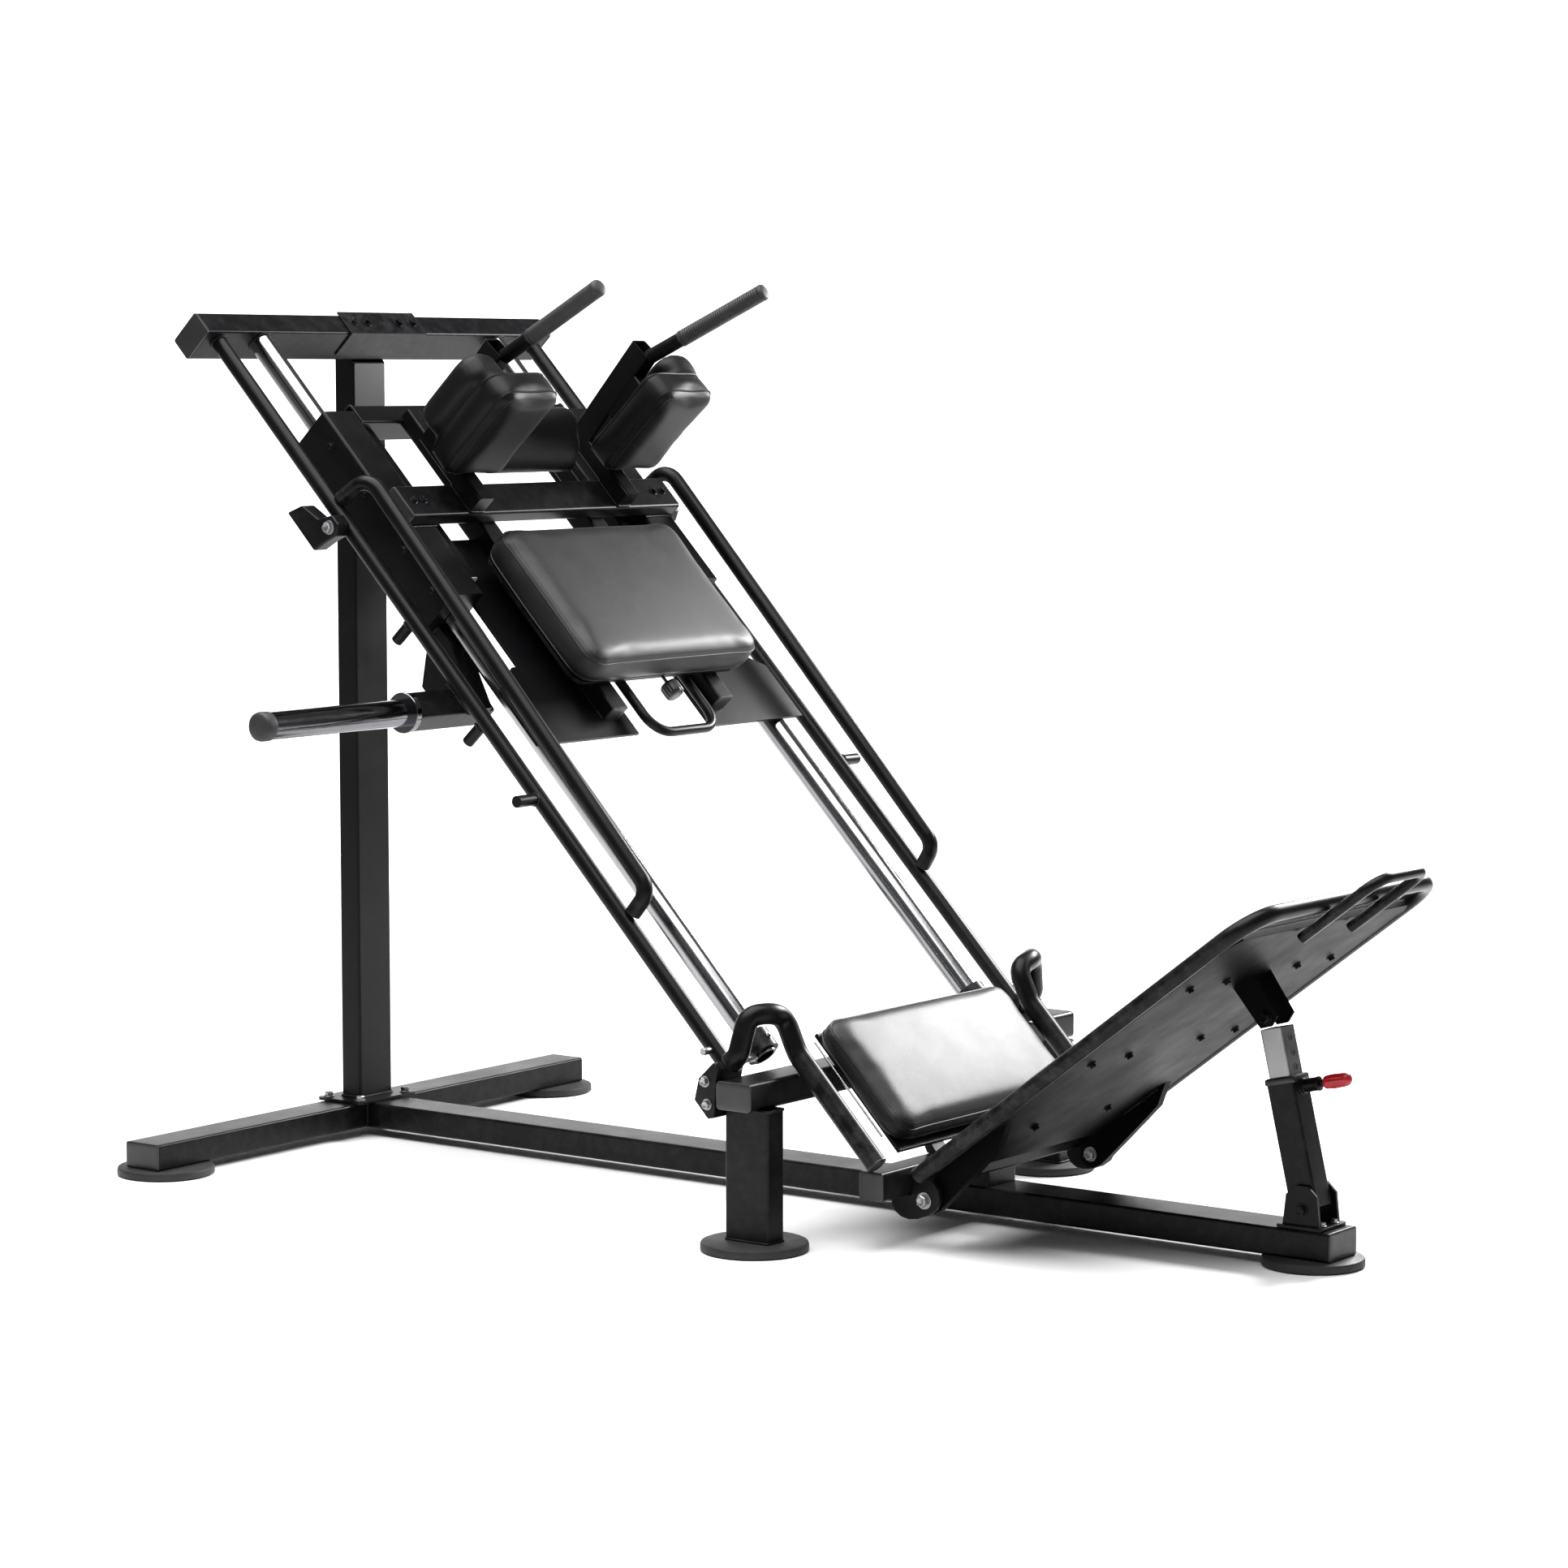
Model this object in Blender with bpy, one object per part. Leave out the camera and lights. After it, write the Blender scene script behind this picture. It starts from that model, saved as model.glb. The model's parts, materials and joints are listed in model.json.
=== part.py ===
"""Plate-loaded leg press and hack squat machine, drawn at rest in metres.

+X points from the upright post to the free end of the long foot panel, +Z is up and the floor is Z = 0.
A person on the machine faces +X, so "right" pieces stand at -Y and "left" pieces at +Y.
Most of the sloping pieces are placed in rail coordinates (s, y, n): s runs down the guide rods from the
underside of the top crossbar, y is the machine's Y, and n stands square to the rods, up and forward.
"""

import math

import bmesh
import bpy
from mathutils import Vector

for obj in list(bpy.data.objects):
    bpy.data.objects.remove(obj, do_unlink=True)

GAP = 0.0003

# Rails
RAIL_ANGLE = math.radians(46.45)
RAIL_TOP = Vector((-1.0488, 0.0, 1.5664))
DOWN = Vector((math.cos(RAIL_ANGLE), 0.0, -math.sin(RAIL_ANGLE)))
OUT = Vector((math.sin(RAIL_ANGLE), 0.0, math.cos(RAIL_ANGLE)))
ROD_R = 0.0225
ROD_Y = 0.343
ROD_N = 0.012
ROD_LENGTH = 1.735
SIDE_R = 0.015
SIDE_Y = 0.457
SIDE_N = 0.012
SIDE_LENGTH = 1.735
HAND_R = 0.015
HAND_Y = 0.445
HAND_N = 0.106
HAND_N_END = 0.082
HAND_TOP = 0.430
HAND_END = 1.400

# Base frame
WALL = 0.003
FOOT_H = 0.017
BASE_LOW = 0.0173
BASE_H = 0.050
POST_X = -1.0966
POST_DEPTH = 0.050
POST_WIDTH = 0.095
REAR_WIDTH = 0.085
REAR_HALF = 0.6306
REAR_FOOT_Y = 0.570
BEAM_WIDTH = 0.095
BEAM_END = 1.1193
FRONT_FOOT_X = 1.0643
COLUMN_X = 0.2227
COLUMN_Y = 0.466
COLUMN_DEPTH = 0.093
COLUMN_WIDTH = 0.048
LOWER_BAR_X = 0.215
LOWER_BAR_DEPTH = 0.075
LOWER_BAR_LOW = 0.250
LOWER_BAR_H = 0.050
LOWER_BAR_HALF = 0.515

# Top crossbar
CROSS_HALF = 0.499
CROSS_DEPTH = 0.050
CROSS_HEIGHT = 0.0766

# Carriage
HOUSING_TOP = 0.240
HOUSING_END = 0.700
HOUSING_N0 = -0.048
HOUSING_N1 = 0.076
HOUSING_Y0 = 0.312
HOUSING_Y1 = 0.400
MAIN_S0 = 0.456
MAIN_S1 = 0.532
MAIN_N1 = 0.1063

# Hinged panel
PANEL_ANGLE = math.radians(37.2)
HINGE = Vector((0.458, 0.0, 0.086))
PANEL_FOOT = Vector((0.460, 0.0, 0.093))
ALONG = Vector((math.cos(PANEL_ANGLE), 0.0, math.sin(PANEL_ANGLE)))
FACE = Vector((-math.sin(PANEL_ANGLE), 0.0, math.cos(PANEL_ANGLE)))
BOARD_M = 0.0187
BOARD_T = 0.012
PAD_M = 0.052

# Strut
STRUT_FOOT = Vector((1.060, 0.0, 0.100))
STRUT_HEAD = Vector((0.984, 0.0, 0.423))
STRUT = (STRUT_HEAD - STRUT_FOOT).normalized()
STRUT_SQUARE = Vector((STRUT.z, 0.0, -STRUT.x))

Y = Vector((0.0, 1.0, 0.0))
Z = Vector((0.0, 0.0, 1.0))
X = Vector((1.0, 0.0, 0.0))


def material(name, colour, metallic, roughness):
    mat = bpy.data.materials.new(name)
    mat.use_nodes = True
    shader = mat.node_tree.nodes["Principled BSDF"]
    shader.inputs["Base Color"].default_value = (*colour, 1.0)
    shader.inputs["Metallic"].default_value = metallic
    shader.inputs["Roughness"].default_value = roughness
    return mat


BLACK = material("frame_black", (0.030, 0.030, 0.033), 0.0, 0.38)
CHROME = material("chrome", (0.72, 0.72, 0.73), 1.0, 0.12)
ZINC = material("zinc", (0.55, 0.55, 0.54), 1.0, 0.35)
RUBBER = material("rubber", (0.020, 0.020, 0.021), 0.0, 0.75)
PLASTIC = material("black_plastic", (0.035, 0.035, 0.037), 0.0, 0.50)
VINYL = material("vinyl", (0.024, 0.024, 0.026), 0.0, 0.42)
RED = material("red_plastic", (0.55, 0.010, 0.015), 0.0, 0.40)


def rail(s, y, n):
    """World point at rail coordinates (s, y, n)."""
    return RAIL_TOP + DOWN * s + Y * y + OUT * n


def panel(e, y, m):
    """World point e along the panel, m out from its underside."""
    return PANEL_FOOT + ALONG * e + Y * y + FACE * m


def strut(t, y, w):
    """World point t up the strut from its foot pivot, w out to the front."""
    return STRUT_FOOT + STRUT * t + Y * y + STRUT_SQUARE * w


def finish(name, verts, faces, mat, smooth=False, origin=None):
    """Make one object from points and faces, facing out, with its origin at the given point."""
    mesh = bpy.data.meshes.new(name)
    base = Vector((0.0, 0.0, 0.0)) if origin is None else origin
    mesh.from_pydata([tuple(Vector(v) - base) for v in verts], [], faces)
    shape = bmesh.new()
    shape.from_mesh(mesh)
    bmesh.ops.remove_doubles(shape, verts=shape.verts, dist=1e-7)
    bmesh.ops.recalc_face_normals(shape, faces=shape.faces)
    shape.to_mesh(mesh)
    shape.free()
    for face in mesh.polygons:
        face.use_smooth = smooth
    obj = bpy.data.objects.new(name, mesh)
    obj.location = base
    obj.data.materials.append(mat)
    bpy.context.scene.collection.objects.link(obj)
    if smooth:
        mesh.set_sharp_from_angle(angle=math.radians(35))
    return obj


def loft(name, loops, mat, ring=False, smooth=False, origin=None):
    """Skin through equal loops of points; the ends are capped, or joined to each other if ring is set."""
    count = len(loops[0])
    verts = [point for loop in loops for point in loop]
    faces = []
    last = len(loops) if ring else len(loops) - 1
    for i in range(last):
        a = i * count
        b = ((i + 1) % len(loops)) * count
        for j in range(count):
            k = (j + 1) % count
            faces.append((a + j, a + k, b + k, b + j))
    if not ring:
        faces.append(tuple(range(count)))
        faces.append(tuple(range((len(loops) - 1) * count, len(loops) * count)))
    return finish(name, verts, faces, mat, smooth, origin)


def circle(centre, u, v, radius, count=24):
    """Loop of points round a centre in the plane of u and v."""
    turn = [2 * math.pi * i / count for i in range(count)]
    return [centre + u * (radius * math.cos(a)) + v * (radius * math.sin(a)) for a in turn]


def rounded(w, h, r, steps=3):
    """Corner-rounded rectangle w by h as 2-D points."""
    points = []
    for cx, cy, start in ((1, 1, 0), (-1, 1, 90), (-1, -1, 180), (1, -1, 270)):
        for i in range(steps + 1):
            a = math.radians(start + 90 * i / steps)
            points.append((cx * (w / 2 - r) + r * math.cos(a), cy * (h / 2 - r) + r * math.sin(a)))
    return points


def placed(points, centre, u, v):
    return [centre + u * a + v * b for a, b in points]


def square(axis, u):
    """Third direction square to an axis and u."""
    return axis.cross(u).normalized()


def box_tube(name, a, b, u, w, h, mat, wall=WALL, r=0.005, origin=None):
    """Rectangular tube from a to b, w wide along u and h deep; solid if wall is 0."""
    axis = (b - a).normalized()
    v = square(axis, u)
    outer = rounded(w, h, r)
    loops = [placed(outer, a, u, v), placed(outer, b, u, v)]
    if wall:
        inner = rounded(w - 2 * wall, h - 2 * wall, max(r - wall, 0.001))
        loops += [placed(inner, b, u, v), placed(inner, a, u, v)]
    return loft(name, loops, mat, ring=bool(wall), origin=origin)


def round_tube(name, a, b, radius, mat, wall=0.0, count=24, origin=None):
    """Straight round bar or tube from a to b."""
    axis = (b - a).normalized()
    u = Y if abs(axis.y) < 0.9 else X
    v = square(axis, u)
    u = square(v, axis)
    loops = [circle(a, u, v, radius, count), circle(b, u, v, radius, count)]
    if wall:
        loops += [circle(b, u, v, radius - wall, count), circle(a, u, v, radius - wall, count)]
    return loft(name, loops, mat, ring=bool(wall), smooth=True, origin=origin)


def filleted(points, radius, steps=6):
    """Path through points with each inner corner turned into an arc."""
    path = [points[0]]
    for before, corner, after in zip(points, points[1:], points[2:]):
        p = (before - corner).normalized()
        q = (after - corner).normalized()
        half = p.angle(q) / 2
        r = min(radius, 0.48 * min((before - corner).length, (after - corner).length) * math.tan(half))
        centre = corner + (p + q).normalized() * (r / math.sin(half))
        start = corner + p * (r / math.tan(half)) - centre
        end = corner + q * (r / math.tan(half)) - centre
        swing = start.angle(end)
        for i in range(steps + 1):
            t = i / steps
            mix = (start * math.sin((1 - t) * swing) + end * math.sin(t * swing)) / math.sin(swing)
            path.append(centre + mix)
    path.append(points[-1])
    return path


def swept(name, path, radius, mat, wall=0.0, count=16, origin=None):
    """Round bar or tube along a bent path."""
    tangents = []
    for i, point in enumerate(path):
        before = path[max(i - 1, 0)]
        after = path[min(i + 1, len(path) - 1)]
        t = Vector((0.0, 0.0, 0.0))
        if i > 0:
            t += (point - before).normalized()
        if i < len(path) - 1:
            t += (after - point).normalized()
        tangents.append(t.normalized())
    u = tangents[0].orthogonal().normalized()
    outer = []
    inner = []
    for point, t in zip(path, tangents):
        u = (u - t * u.dot(t)).normalized()
        v = t.cross(u)
        outer.append(circle(point, u, v, radius, count))
        if wall:
            inner.append(circle(point, u, v, radius - wall, count))
    return loft(name, outer + inner[::-1], mat, ring=bool(wall), smooth=True, origin=origin)


def turned(name, centre, axis, profile, mat, count=32, ring=False, origin=None):
    """Body of revolution; profile is a list of (radius, height) along the axis."""
    u = Y if abs(axis.y) < 0.9 else X
    v = square(axis, u)
    u = square(v, axis)
    loops = [circle(centre + axis * h, u, v, r, count) for r, h in profile]
    return loft(name, loops, mat, ring=ring, smooth=True, origin=origin)


def plate(name, points, centre, u, v, thickness, mat, origin=None):
    """Flat plate cut to a polygon in the plane of u and v, thickness along their normal."""
    w = u.cross(v).normalized() * (thickness / 2)
    loops = [placed(points, centre - w, u, v), placed(points, centre + w, u, v)]
    return loft(name, loops, mat, origin=origin)


def slab(name, centre, u, v, w, h, thickness, r, edge, mat, origin=None, steps=4):
    """Upholstered slab: a rounded rectangle w by h with its upper and lower rims rolled over."""
    out = u.cross(v).normalized()
    loops = []
    for i in range(steps + 1):
        a = math.radians(90 * i / steps)
        inset = edge * (1 - math.sin(a))
        lift = edge * (1 - math.cos(a))
        loops.append((inset, -thickness / 2 + lift))
    loops += [(inset, -height) for inset, height in reversed(loops)]
    rings = []
    for inset, height in loops:
        outline = rounded(w - 2 * inset, h - 2 * inset, max(r - inset, 0.004), 5)
        rings.append(placed(outline, centre + out * height, u, v))
    return loft(name, rings, mat, smooth=True, origin=origin)


def fuse(base, *others):
    """Weld other objects onto a base with exact Booleans; the others stay as hidden helpers."""
    for i, other in enumerate(others):
        weld = base.modifiers.new(f"weld_{i}", "BOOLEAN")
        weld.operation = "UNION"
        weld.solver = "EXACT"
        weld.object = other
        other.hide_render = True
        other.display_type = "WIRE"
    return base


def cut(base, *others):
    """Cut other objects out of a base with exact Booleans."""
    for i, other in enumerate(others):
        bite = base.modifiers.new(f"cut_{i}", "BOOLEAN")
        bite.operation = "DIFFERENCE"
        bite.solver = "EXACT"
        bite.object = other
        other.hide_render = True
        other.display_type = "WIRE"
    return base


SIDES = (("right", -1), ("left", 1))
BEAM_MID = BASE_LOW + BASE_H / 2

# ---------------------------------------------------------------- base frame
box_tube("rear_base_tube", Vector((POST_X, -REAR_HALF, BEAM_MID)), Vector((POST_X, REAR_HALF, BEAM_MID)),
         X, REAR_WIDTH, BASE_H, BLACK)
box_tube("main_beam", Vector((POST_X + REAR_WIDTH / 2 + GAP, 0, BEAM_MID)), Vector((BEAM_END, 0, BEAM_MID)),
         Y, BEAM_WIDTH, BASE_H, BLACK)

foot_spots = [("foot_rear_right", POST_X, -REAR_FOOT_Y, 0.092), ("foot_rear_left", POST_X, REAR_FOOT_Y, 0.092),
              ("foot_mid_right", COLUMN_X, -COLUMN_Y, 0.095), ("foot_mid_left", COLUMN_X, COLUMN_Y, 0.095),
              ("foot_front", FRONT_FOOT_X, 0.0, 0.089)]
for name, x, y, radius in foot_spots:
    profile = [(radius - 0.004, 0.0), (radius, 0.003), (radius, FOOT_H - 0.005),
               (radius - 0.0015, FOOT_H - 0.0015), (radius - 0.005, FOOT_H)]
    turned(name, Vector((x, y, 0.0)), Z, profile, RUBBER)

# The post is cut off along the sloping underside of the top crossbar.
CROSS_MID = rail(-CROSS_DEPTH / 2, 0, 0)
UNDER = CROSS_MID - OUT * (CROSS_HEIGHT / 2 + GAP)
post_low = BASE_LOW + BASE_H + GAP


def under_crossbar(point):
    """The same point moved up to the plane of the crossbar's underside."""
    rise = (UNDER - point).dot(OUT) / OUT.z
    return Vector((point.x, point.y, point.z + rise))


outer = placed(rounded(POST_DEPTH, POST_WIDTH, 0.005), Vector((POST_X, 0, post_low)), X, Y)
inner = placed(rounded(POST_DEPTH - 2 * WALL, POST_WIDTH - 2 * WALL, 0.002), Vector((POST_X, 0, post_low)), X, Y)
post = loft("upright_post", [outer, [under_crossbar(p) for p in outer], [under_crossbar(p) for p in inner], inner],
            BLACK, ring=True)
flange = plate("helper_flange", rounded(0.120, 0.170, 0.012), Vector((POST_X, 0, post_low + 0.003)), X, Y, 0.006,
               BLACK)
fuse(post, flange)

for side, sign in SIDES:
    box_tube(f"column_{side}", Vector((COLUMN_X, sign * COLUMN_Y, FOOT_H + GAP)),
             Vector((COLUMN_X, sign * COLUMN_Y, LOWER_BAR_LOW - GAP)), X, COLUMN_DEPTH, COLUMN_WIDTH, BLACK)
box_tube("lower_crossbar", Vector((LOWER_BAR_X, -LOWER_BAR_HALF, LOWER_BAR_LOW + LOWER_BAR_H / 2)),
         Vector((LOWER_BAR_X, LOWER_BAR_HALF, LOWER_BAR_LOW + LOWER_BAR_H / 2)),
         X, LOWER_BAR_DEPTH, LOWER_BAR_H, BLACK, r=0.008)

# ---------------------------------------------------------------- top crossbar and rails
box_tube("top_crossbar", CROSS_MID - Y * CROSS_HALF, CROSS_MID + Y * CROSS_HALF, DOWN, CROSS_DEPTH, CROSS_HEIGHT,
         BLACK)
for side, sign in SIDES:
    mid = CROSS_MID + Y * sign * (CROSS_HALF + GAP)
    box_tube(f"crossbar_cap_{side}", mid, mid + Y * sign * 0.004, DOWN, CROSS_DEPTH, CROSS_HEIGHT, PLASTIC, wall=0)

saddle_t = 0.0035
saddle_outline = [(-0.029, 0.0386), (-0.029, 0.0421), (0.0288, 0.0421), (0.0288, -0.020), (0.0253, -0.020),
                  (0.0253, 0.0386)]
plate("crossbar_saddle", saddle_outline, CROSS_MID, DOWN, OUT, 0.220, BLACK)

for side, sign in SIDES:
    y = sign * ROD_Y
    round_tube(f"guide_rod_{side}", rail(GAP, y, ROD_N), rail(ROD_LENGTH, y, ROD_N), ROD_R, CHROME, wall=0.005, count=32)

    y = sign * SIDE_Y
    tube = round_tube(f"side_tube_{side}", rail(GAP, y, SIDE_N), rail(SIDE_LENGTH, y, SIDE_N), SIDE_R, BLACK)
    pegs = []
    for i, (s, du, dn) in enumerate(((0.700, 0.0, -1.0), (0.945, 0.0, -1.0), (1.128, 1.0, 0.0))):
        root = rail(s, y, SIDE_N)
        tip = root + Y * (sign * du * 0.065) + OUT * (dn * 0.058)
        pegs.append(round_tube(f"helper_peg_{side}_{i}", root, tip, 0.011, BLACK, count=16))
    fuse(tube, *pegs)

    # The handrail leaves the side tube, runs parallel to it and comes back down to it.
    y0 = sign * (SIDE_Y - 0.004)
    y1 = sign * HAND_Y
    lift = SIDE_N + SIDE_R + 0.004
    rail_path = filleted([rail(HAND_TOP - 0.010, y0, lift), rail(HAND_TOP, y1, HAND_N), rail(HAND_END, y1, HAND_N_END),
                          rail(HAND_END + 0.010, y0, lift)], 0.055, 7)
    swept(f"handrail_{side}", rail_path, HAND_R, BLACK, wall=0.0025)

# ---------------------------------------------------------------- foot of the rails
for side, sign in SIDES:
    y = sign * ROD_Y
    inner_r = ROD_R + GAP
    profile = [(inner_r, 0.0), (0.029, 0.0), (0.031, 0.002), (0.031, 0.040), (inner_r, 0.040)]
    turned(f"rod_socket_{side}", rail(1.690, y, ROD_N), DOWN, profile, BLACK, ring=True)

    # Shoe that carries the side tube down to the end of the lower crossbar.
    shoe = [(1.7353, 0.031), (1.7353, -0.012), (1.757, -0.046), (1.800, -0.046), (1.807, -0.034), (1.7632, 0.0147),
            (1.752, 0.031)]
    points = [(s, n) for s, n in shoe]
    plate(f"side_shoe_{side}", points, RAIL_TOP + Y * sign * 0.478, DOWN, OUT, 0.076, BLACK)

for side, sign in SIDES:
    y1 = sign * 0.372
    arch_path = filleted([rail(1.744, sign * 0.470, 0.0315), rail(1.744, sign * 0.470, 0.052),
                          rail(1.700, sign * 0.452, 0.104), rail(1.712, sign * 0.418, 0.122),
                          rail(1.720, y1, 0.112), rail(1.785, y1, 0.090), rail(2.030, y1, 0.090)], 0.070, 6)
    swept(f"arch_{side}", arch_path, 0.019, BLACK, wall=0.003)

MEMBER_X = 0.405
MEMBER_LOW = 0.0933
MEMBER_H = 0.050
MEMBER_MID = MEMBER_LOW + MEMBER_H / 2
member = box_tube("seat_cross_member", Vector((MEMBER_X, -0.372, MEMBER_MID)), Vector((MEMBER_X, 0.372, MEMBER_MID)),
                  X, 0.050, MEMBER_H, BLACK)
beam_top = BASE_LOW + BASE_H + GAP
block = box_tube("helper_block", Vector((MEMBER_X, 0, beam_top)), Vector((MEMBER_X, 0, MEMBER_LOW + 0.001)), X, 0.050,
                 0.090, BLACK, wall=0)
fuse(member, block)
lobe = [(0.4303, 0.130), (0.4303, 0.0930), (0.392, 0.0930), (0.388, 0.074), (0.396, 0.060), (0.408, 0.052),
        (0.424, 0.049), (0.444, 0.052), (0.466, 0.060), (0.482, 0.072), (0.490, 0.088), (0.488, 0.106),
        (0.476, 0.122), (0.456, 0.130)]
for side, sign in SIDES:
    plate(f"pivot_bracket_{side}", lobe, Vector((0, sign * 0.284, 0)), X, Z, 0.010, BLACK)

# The seat board lies on the front corner of the lower crossbar and stands on two feet on the cross member.
board = plate("seat_frame", [(1.748, 0.0715), (1.748, 0.0795), (2.010, 0.0795), (2.010, 0.0715)], RAIL_TOP, DOWN, OUT,
              0.540, BLACK)
feet = []
for side, sign in SIDES:
    foot_outline = [(0.382, MEMBER_LOW + MEMBER_H + GAP), (0.405, MEMBER_LOW + MEMBER_H + GAP), (0.386, 0.166),
                    (0.372, 0.180), (0.366, 0.176)]
    feet.append(plate(f"helper_foot_{side}", foot_outline, Y * sign * 0.150, X, Z, 0.040, BLACK))
fuse(board, *feet)
slab("seat_pad", rail(1.8705, 0, 0.1029), Y, -DOWN, 0.580, 0.265, 0.0462, 0.045, 0.015, VINYL)

# ---------------------------------------------------------------- carriage
HOUSING_W = HOUSING_Y1 - HOUSING_Y0
HOUSING_H = HOUSING_N1 - HOUSING_N0


def edge_reach(w, h, r, a):
    """Distance from the middle of a corner-rounded rectangle to its edge in direction a."""
    c = abs(math.cos(a))
    d = abs(math.sin(a))
    reach = min(w / 2 / max(c, 1e-9), h / 2 / max(d, 1e-9))
    x = w / 2 - r
    y = h / 2 - r
    if reach * c > x and reach * d > y:
        along = x * c + y * d
        reach = along + math.sqrt(along * along - x * x - y * y + r * r)
    return reach


def housing(side, sign):
    """Box tube over a guide rod, closed at both ends by walls that run round the rod."""
    y = sign * (HOUSING_Y0 + HOUSING_Y1) / 2
    n = (HOUSING_N0 + HOUSING_N1) / 2
    corner = math.atan2(HOUSING_W, HOUSING_H)
    turn = [math.radians(7.5 + 15 * i) for i in range(24)]
    for middle in (corner, math.pi - corner, math.pi + corner, 2 * math.pi - corner):
        turn += [middle + math.radians(step) for step in (-3.6, -1.8, 0.0, 1.8, 3.6)]
    turn.sort()
    outer = []
    inner = []
    hole = []
    for a in turn:
        far = edge_reach(HOUSING_H, HOUSING_W, 0.008, a)
        near = edge_reach(HOUSING_H - 0.008, HOUSING_W - 0.008, 0.004, a)
        outer.append((far * math.cos(a), far * math.sin(a)))
        inner.append((near * math.cos(a), near * math.sin(a)))
        hole.append((ROD_N - n + (ROD_R + 0.0015) * math.cos(a), sign * ROD_Y - y + (ROD_R + 0.0015) * math.sin(a)))
    start = rail(HOUSING_TOP, y, n)
    end = rail(HOUSING_END, y, n)
    wall = DOWN * 0.010
    loops = [placed(outer, start, OUT, Y), placed(outer, end, OUT, Y), placed(hole, end, OUT, Y),
             placed(hole, end - wall, OUT, Y), placed(inner, end - wall, OUT, Y),
             placed(inner, start + wall, OUT, Y), placed(hole, start + wall, OUT, Y),
             placed(hole, start, OUT, Y)]
    loft(f"housing_{side}", loops, BLACK, ring=True, origin=start)


for side, sign in SIDES:
    housing(side, sign)

IN_Y = HOUSING_Y0 - GAP
upper = box_tube("carriage_upper_tube", rail(0.245, -IN_Y, 0.047), rail(0.245, IN_Y, 0.047), DOWN, 0.044, 0.054,
                 BLACK)
stays = []
for side, sign in SIDES:
    # Side stay that runs down beside the housing, under the main tube.
    stays.append(box_tube(f"helper_stay_{side}", rail(0.255, sign * (IN_Y - 0.025), 0.028),
                          rail(0.640, sign * (IN_Y - 0.025), 0.028), Y, 0.050, 0.048, BLACK, wall=0))
    # Inner stay that ends against the upper face of the main tube.
    stays.append(box_tube(f"helper_inner_stay_{side}", rail(0.255, sign * 0.174, 0.078),
                          rail(MAIN_S0 - GAP, sign * 0.174, 0.078), Y, 0.034, 0.036, BLACK, wall=0))
fuse(upper, *stays)
main_mid = (MAIN_S0 + MAIN_S1) / 2
main_h = MAIN_N1 - HOUSING_N1 - GAP
box_tube("carriage_main_tube", rail(main_mid, -HOUSING_Y1 + 0.004, MAIN_N1 - main_h / 2),
         rail(main_mid, HOUSING_Y1 - 0.004, MAIN_N1 - main_h / 2), DOWN, MAIN_S1 - MAIN_S0, main_h, BLACK, r=0.006)

BEARER_Y = 0.162
for side, sign in SIDES:
    y = sign * BEARER_Y
    # Bearer from under the main tube to the foot plate, with the plate welded to its lower end.
    bearer = box_tube(f"carriage_bearer_{side}", rail(MAIN_S0, y, 0.053), rail(0.990, y, 0.053), Y, 0.045, 0.046,
                      BLACK)
    wing = plate(f"helper_wing_{side}",
                 [(0.540, sign * 0.110), (1.030, sign * 0.110), (1.030, sign * 0.405), (0.900, sign * 0.405),
                  (0.850, sign * 0.330), (0.850, sign * IN_Y), (0.6405, sign * IN_Y),
                  (0.6405, sign * (IN_Y - 0.0505)), (0.540, sign * (IN_Y - 0.0505))], rail(0, 0, 0.0385), DOWN, Y,
                 0.006, BLACK)
    fuse(bearer, wing)

plate("back_board", rounded(0.500, 0.320, 0.030), rail(0.7725, 0, 0.0803), Y, DOWN, 0.008, BLACK)
slab("back_pad", rail(0.7725, 0, 0.1203), Y, -DOWN, 0.530, 0.350, 0.071, 0.045, 0.018, VINYL)

for side, sign in SIDES:
    y = sign * 0.220
    post = box_tube(f"shoulder_support_{side}", rail(0.367, y, 0.125), rail(0.346, y, 0.358), Y, 0.040,
                    0.050, BLACK)
    knee = box_tube(f"helper_knee_{side}", rail(0.345, y, MAIN_N1 + GAP + 0.018), rail(0.528, y, MAIN_N1 + GAP + 0.018),
                    Y, 0.040, 0.036, BLACK, wall=0)
    mount = box_tube(f"helper_mount_{side}", rail(0.370, y, 0.262), rail(0.4072, y, 0.262), Y, 0.038, 0.100, BLACK,
                     wall=0)
    grip_a = Vector((-0.522, sign * 0.220, 1.555))
    grip_b = Vector((-0.290, sign * 0.250, 1.669))
    grip = round_tube(f"helper_grip_{side}", grip_a - (grip_b - grip_a).normalized() * 0.02, grip_b, 0.0145, BLACK,
                      count=20)
    fuse(post, knee, mount, grip)
    cushion = slab(f"shoulder_pad_{side}", rail(0.4475, sign * 0.235, 0.262), Y, OUT, 0.170, 0.230, 0.080, 0.030,
                   0.020, VINYL)
    # Outer wing that wraps back past the support.
    wing = slab(f"helper_cushion_{side}", rail(0.391, sign * 0.294, 0.278), Y, OUT, 0.100, 0.190, 0.060, 0.045, 0.016,
                VINYL)
    fuse(cushion, wing)

plate("head_rest", [(0.330, 0.120), (0.352, 0.110), (0.440, 0.110), (0.448, 0.125), (0.430, 0.165), (0.395, 0.195),
                    (0.355, 0.205), (0.332, 0.190)], RAIL_TOP, DOWN, OUT, 0.260, VINYL)

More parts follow.
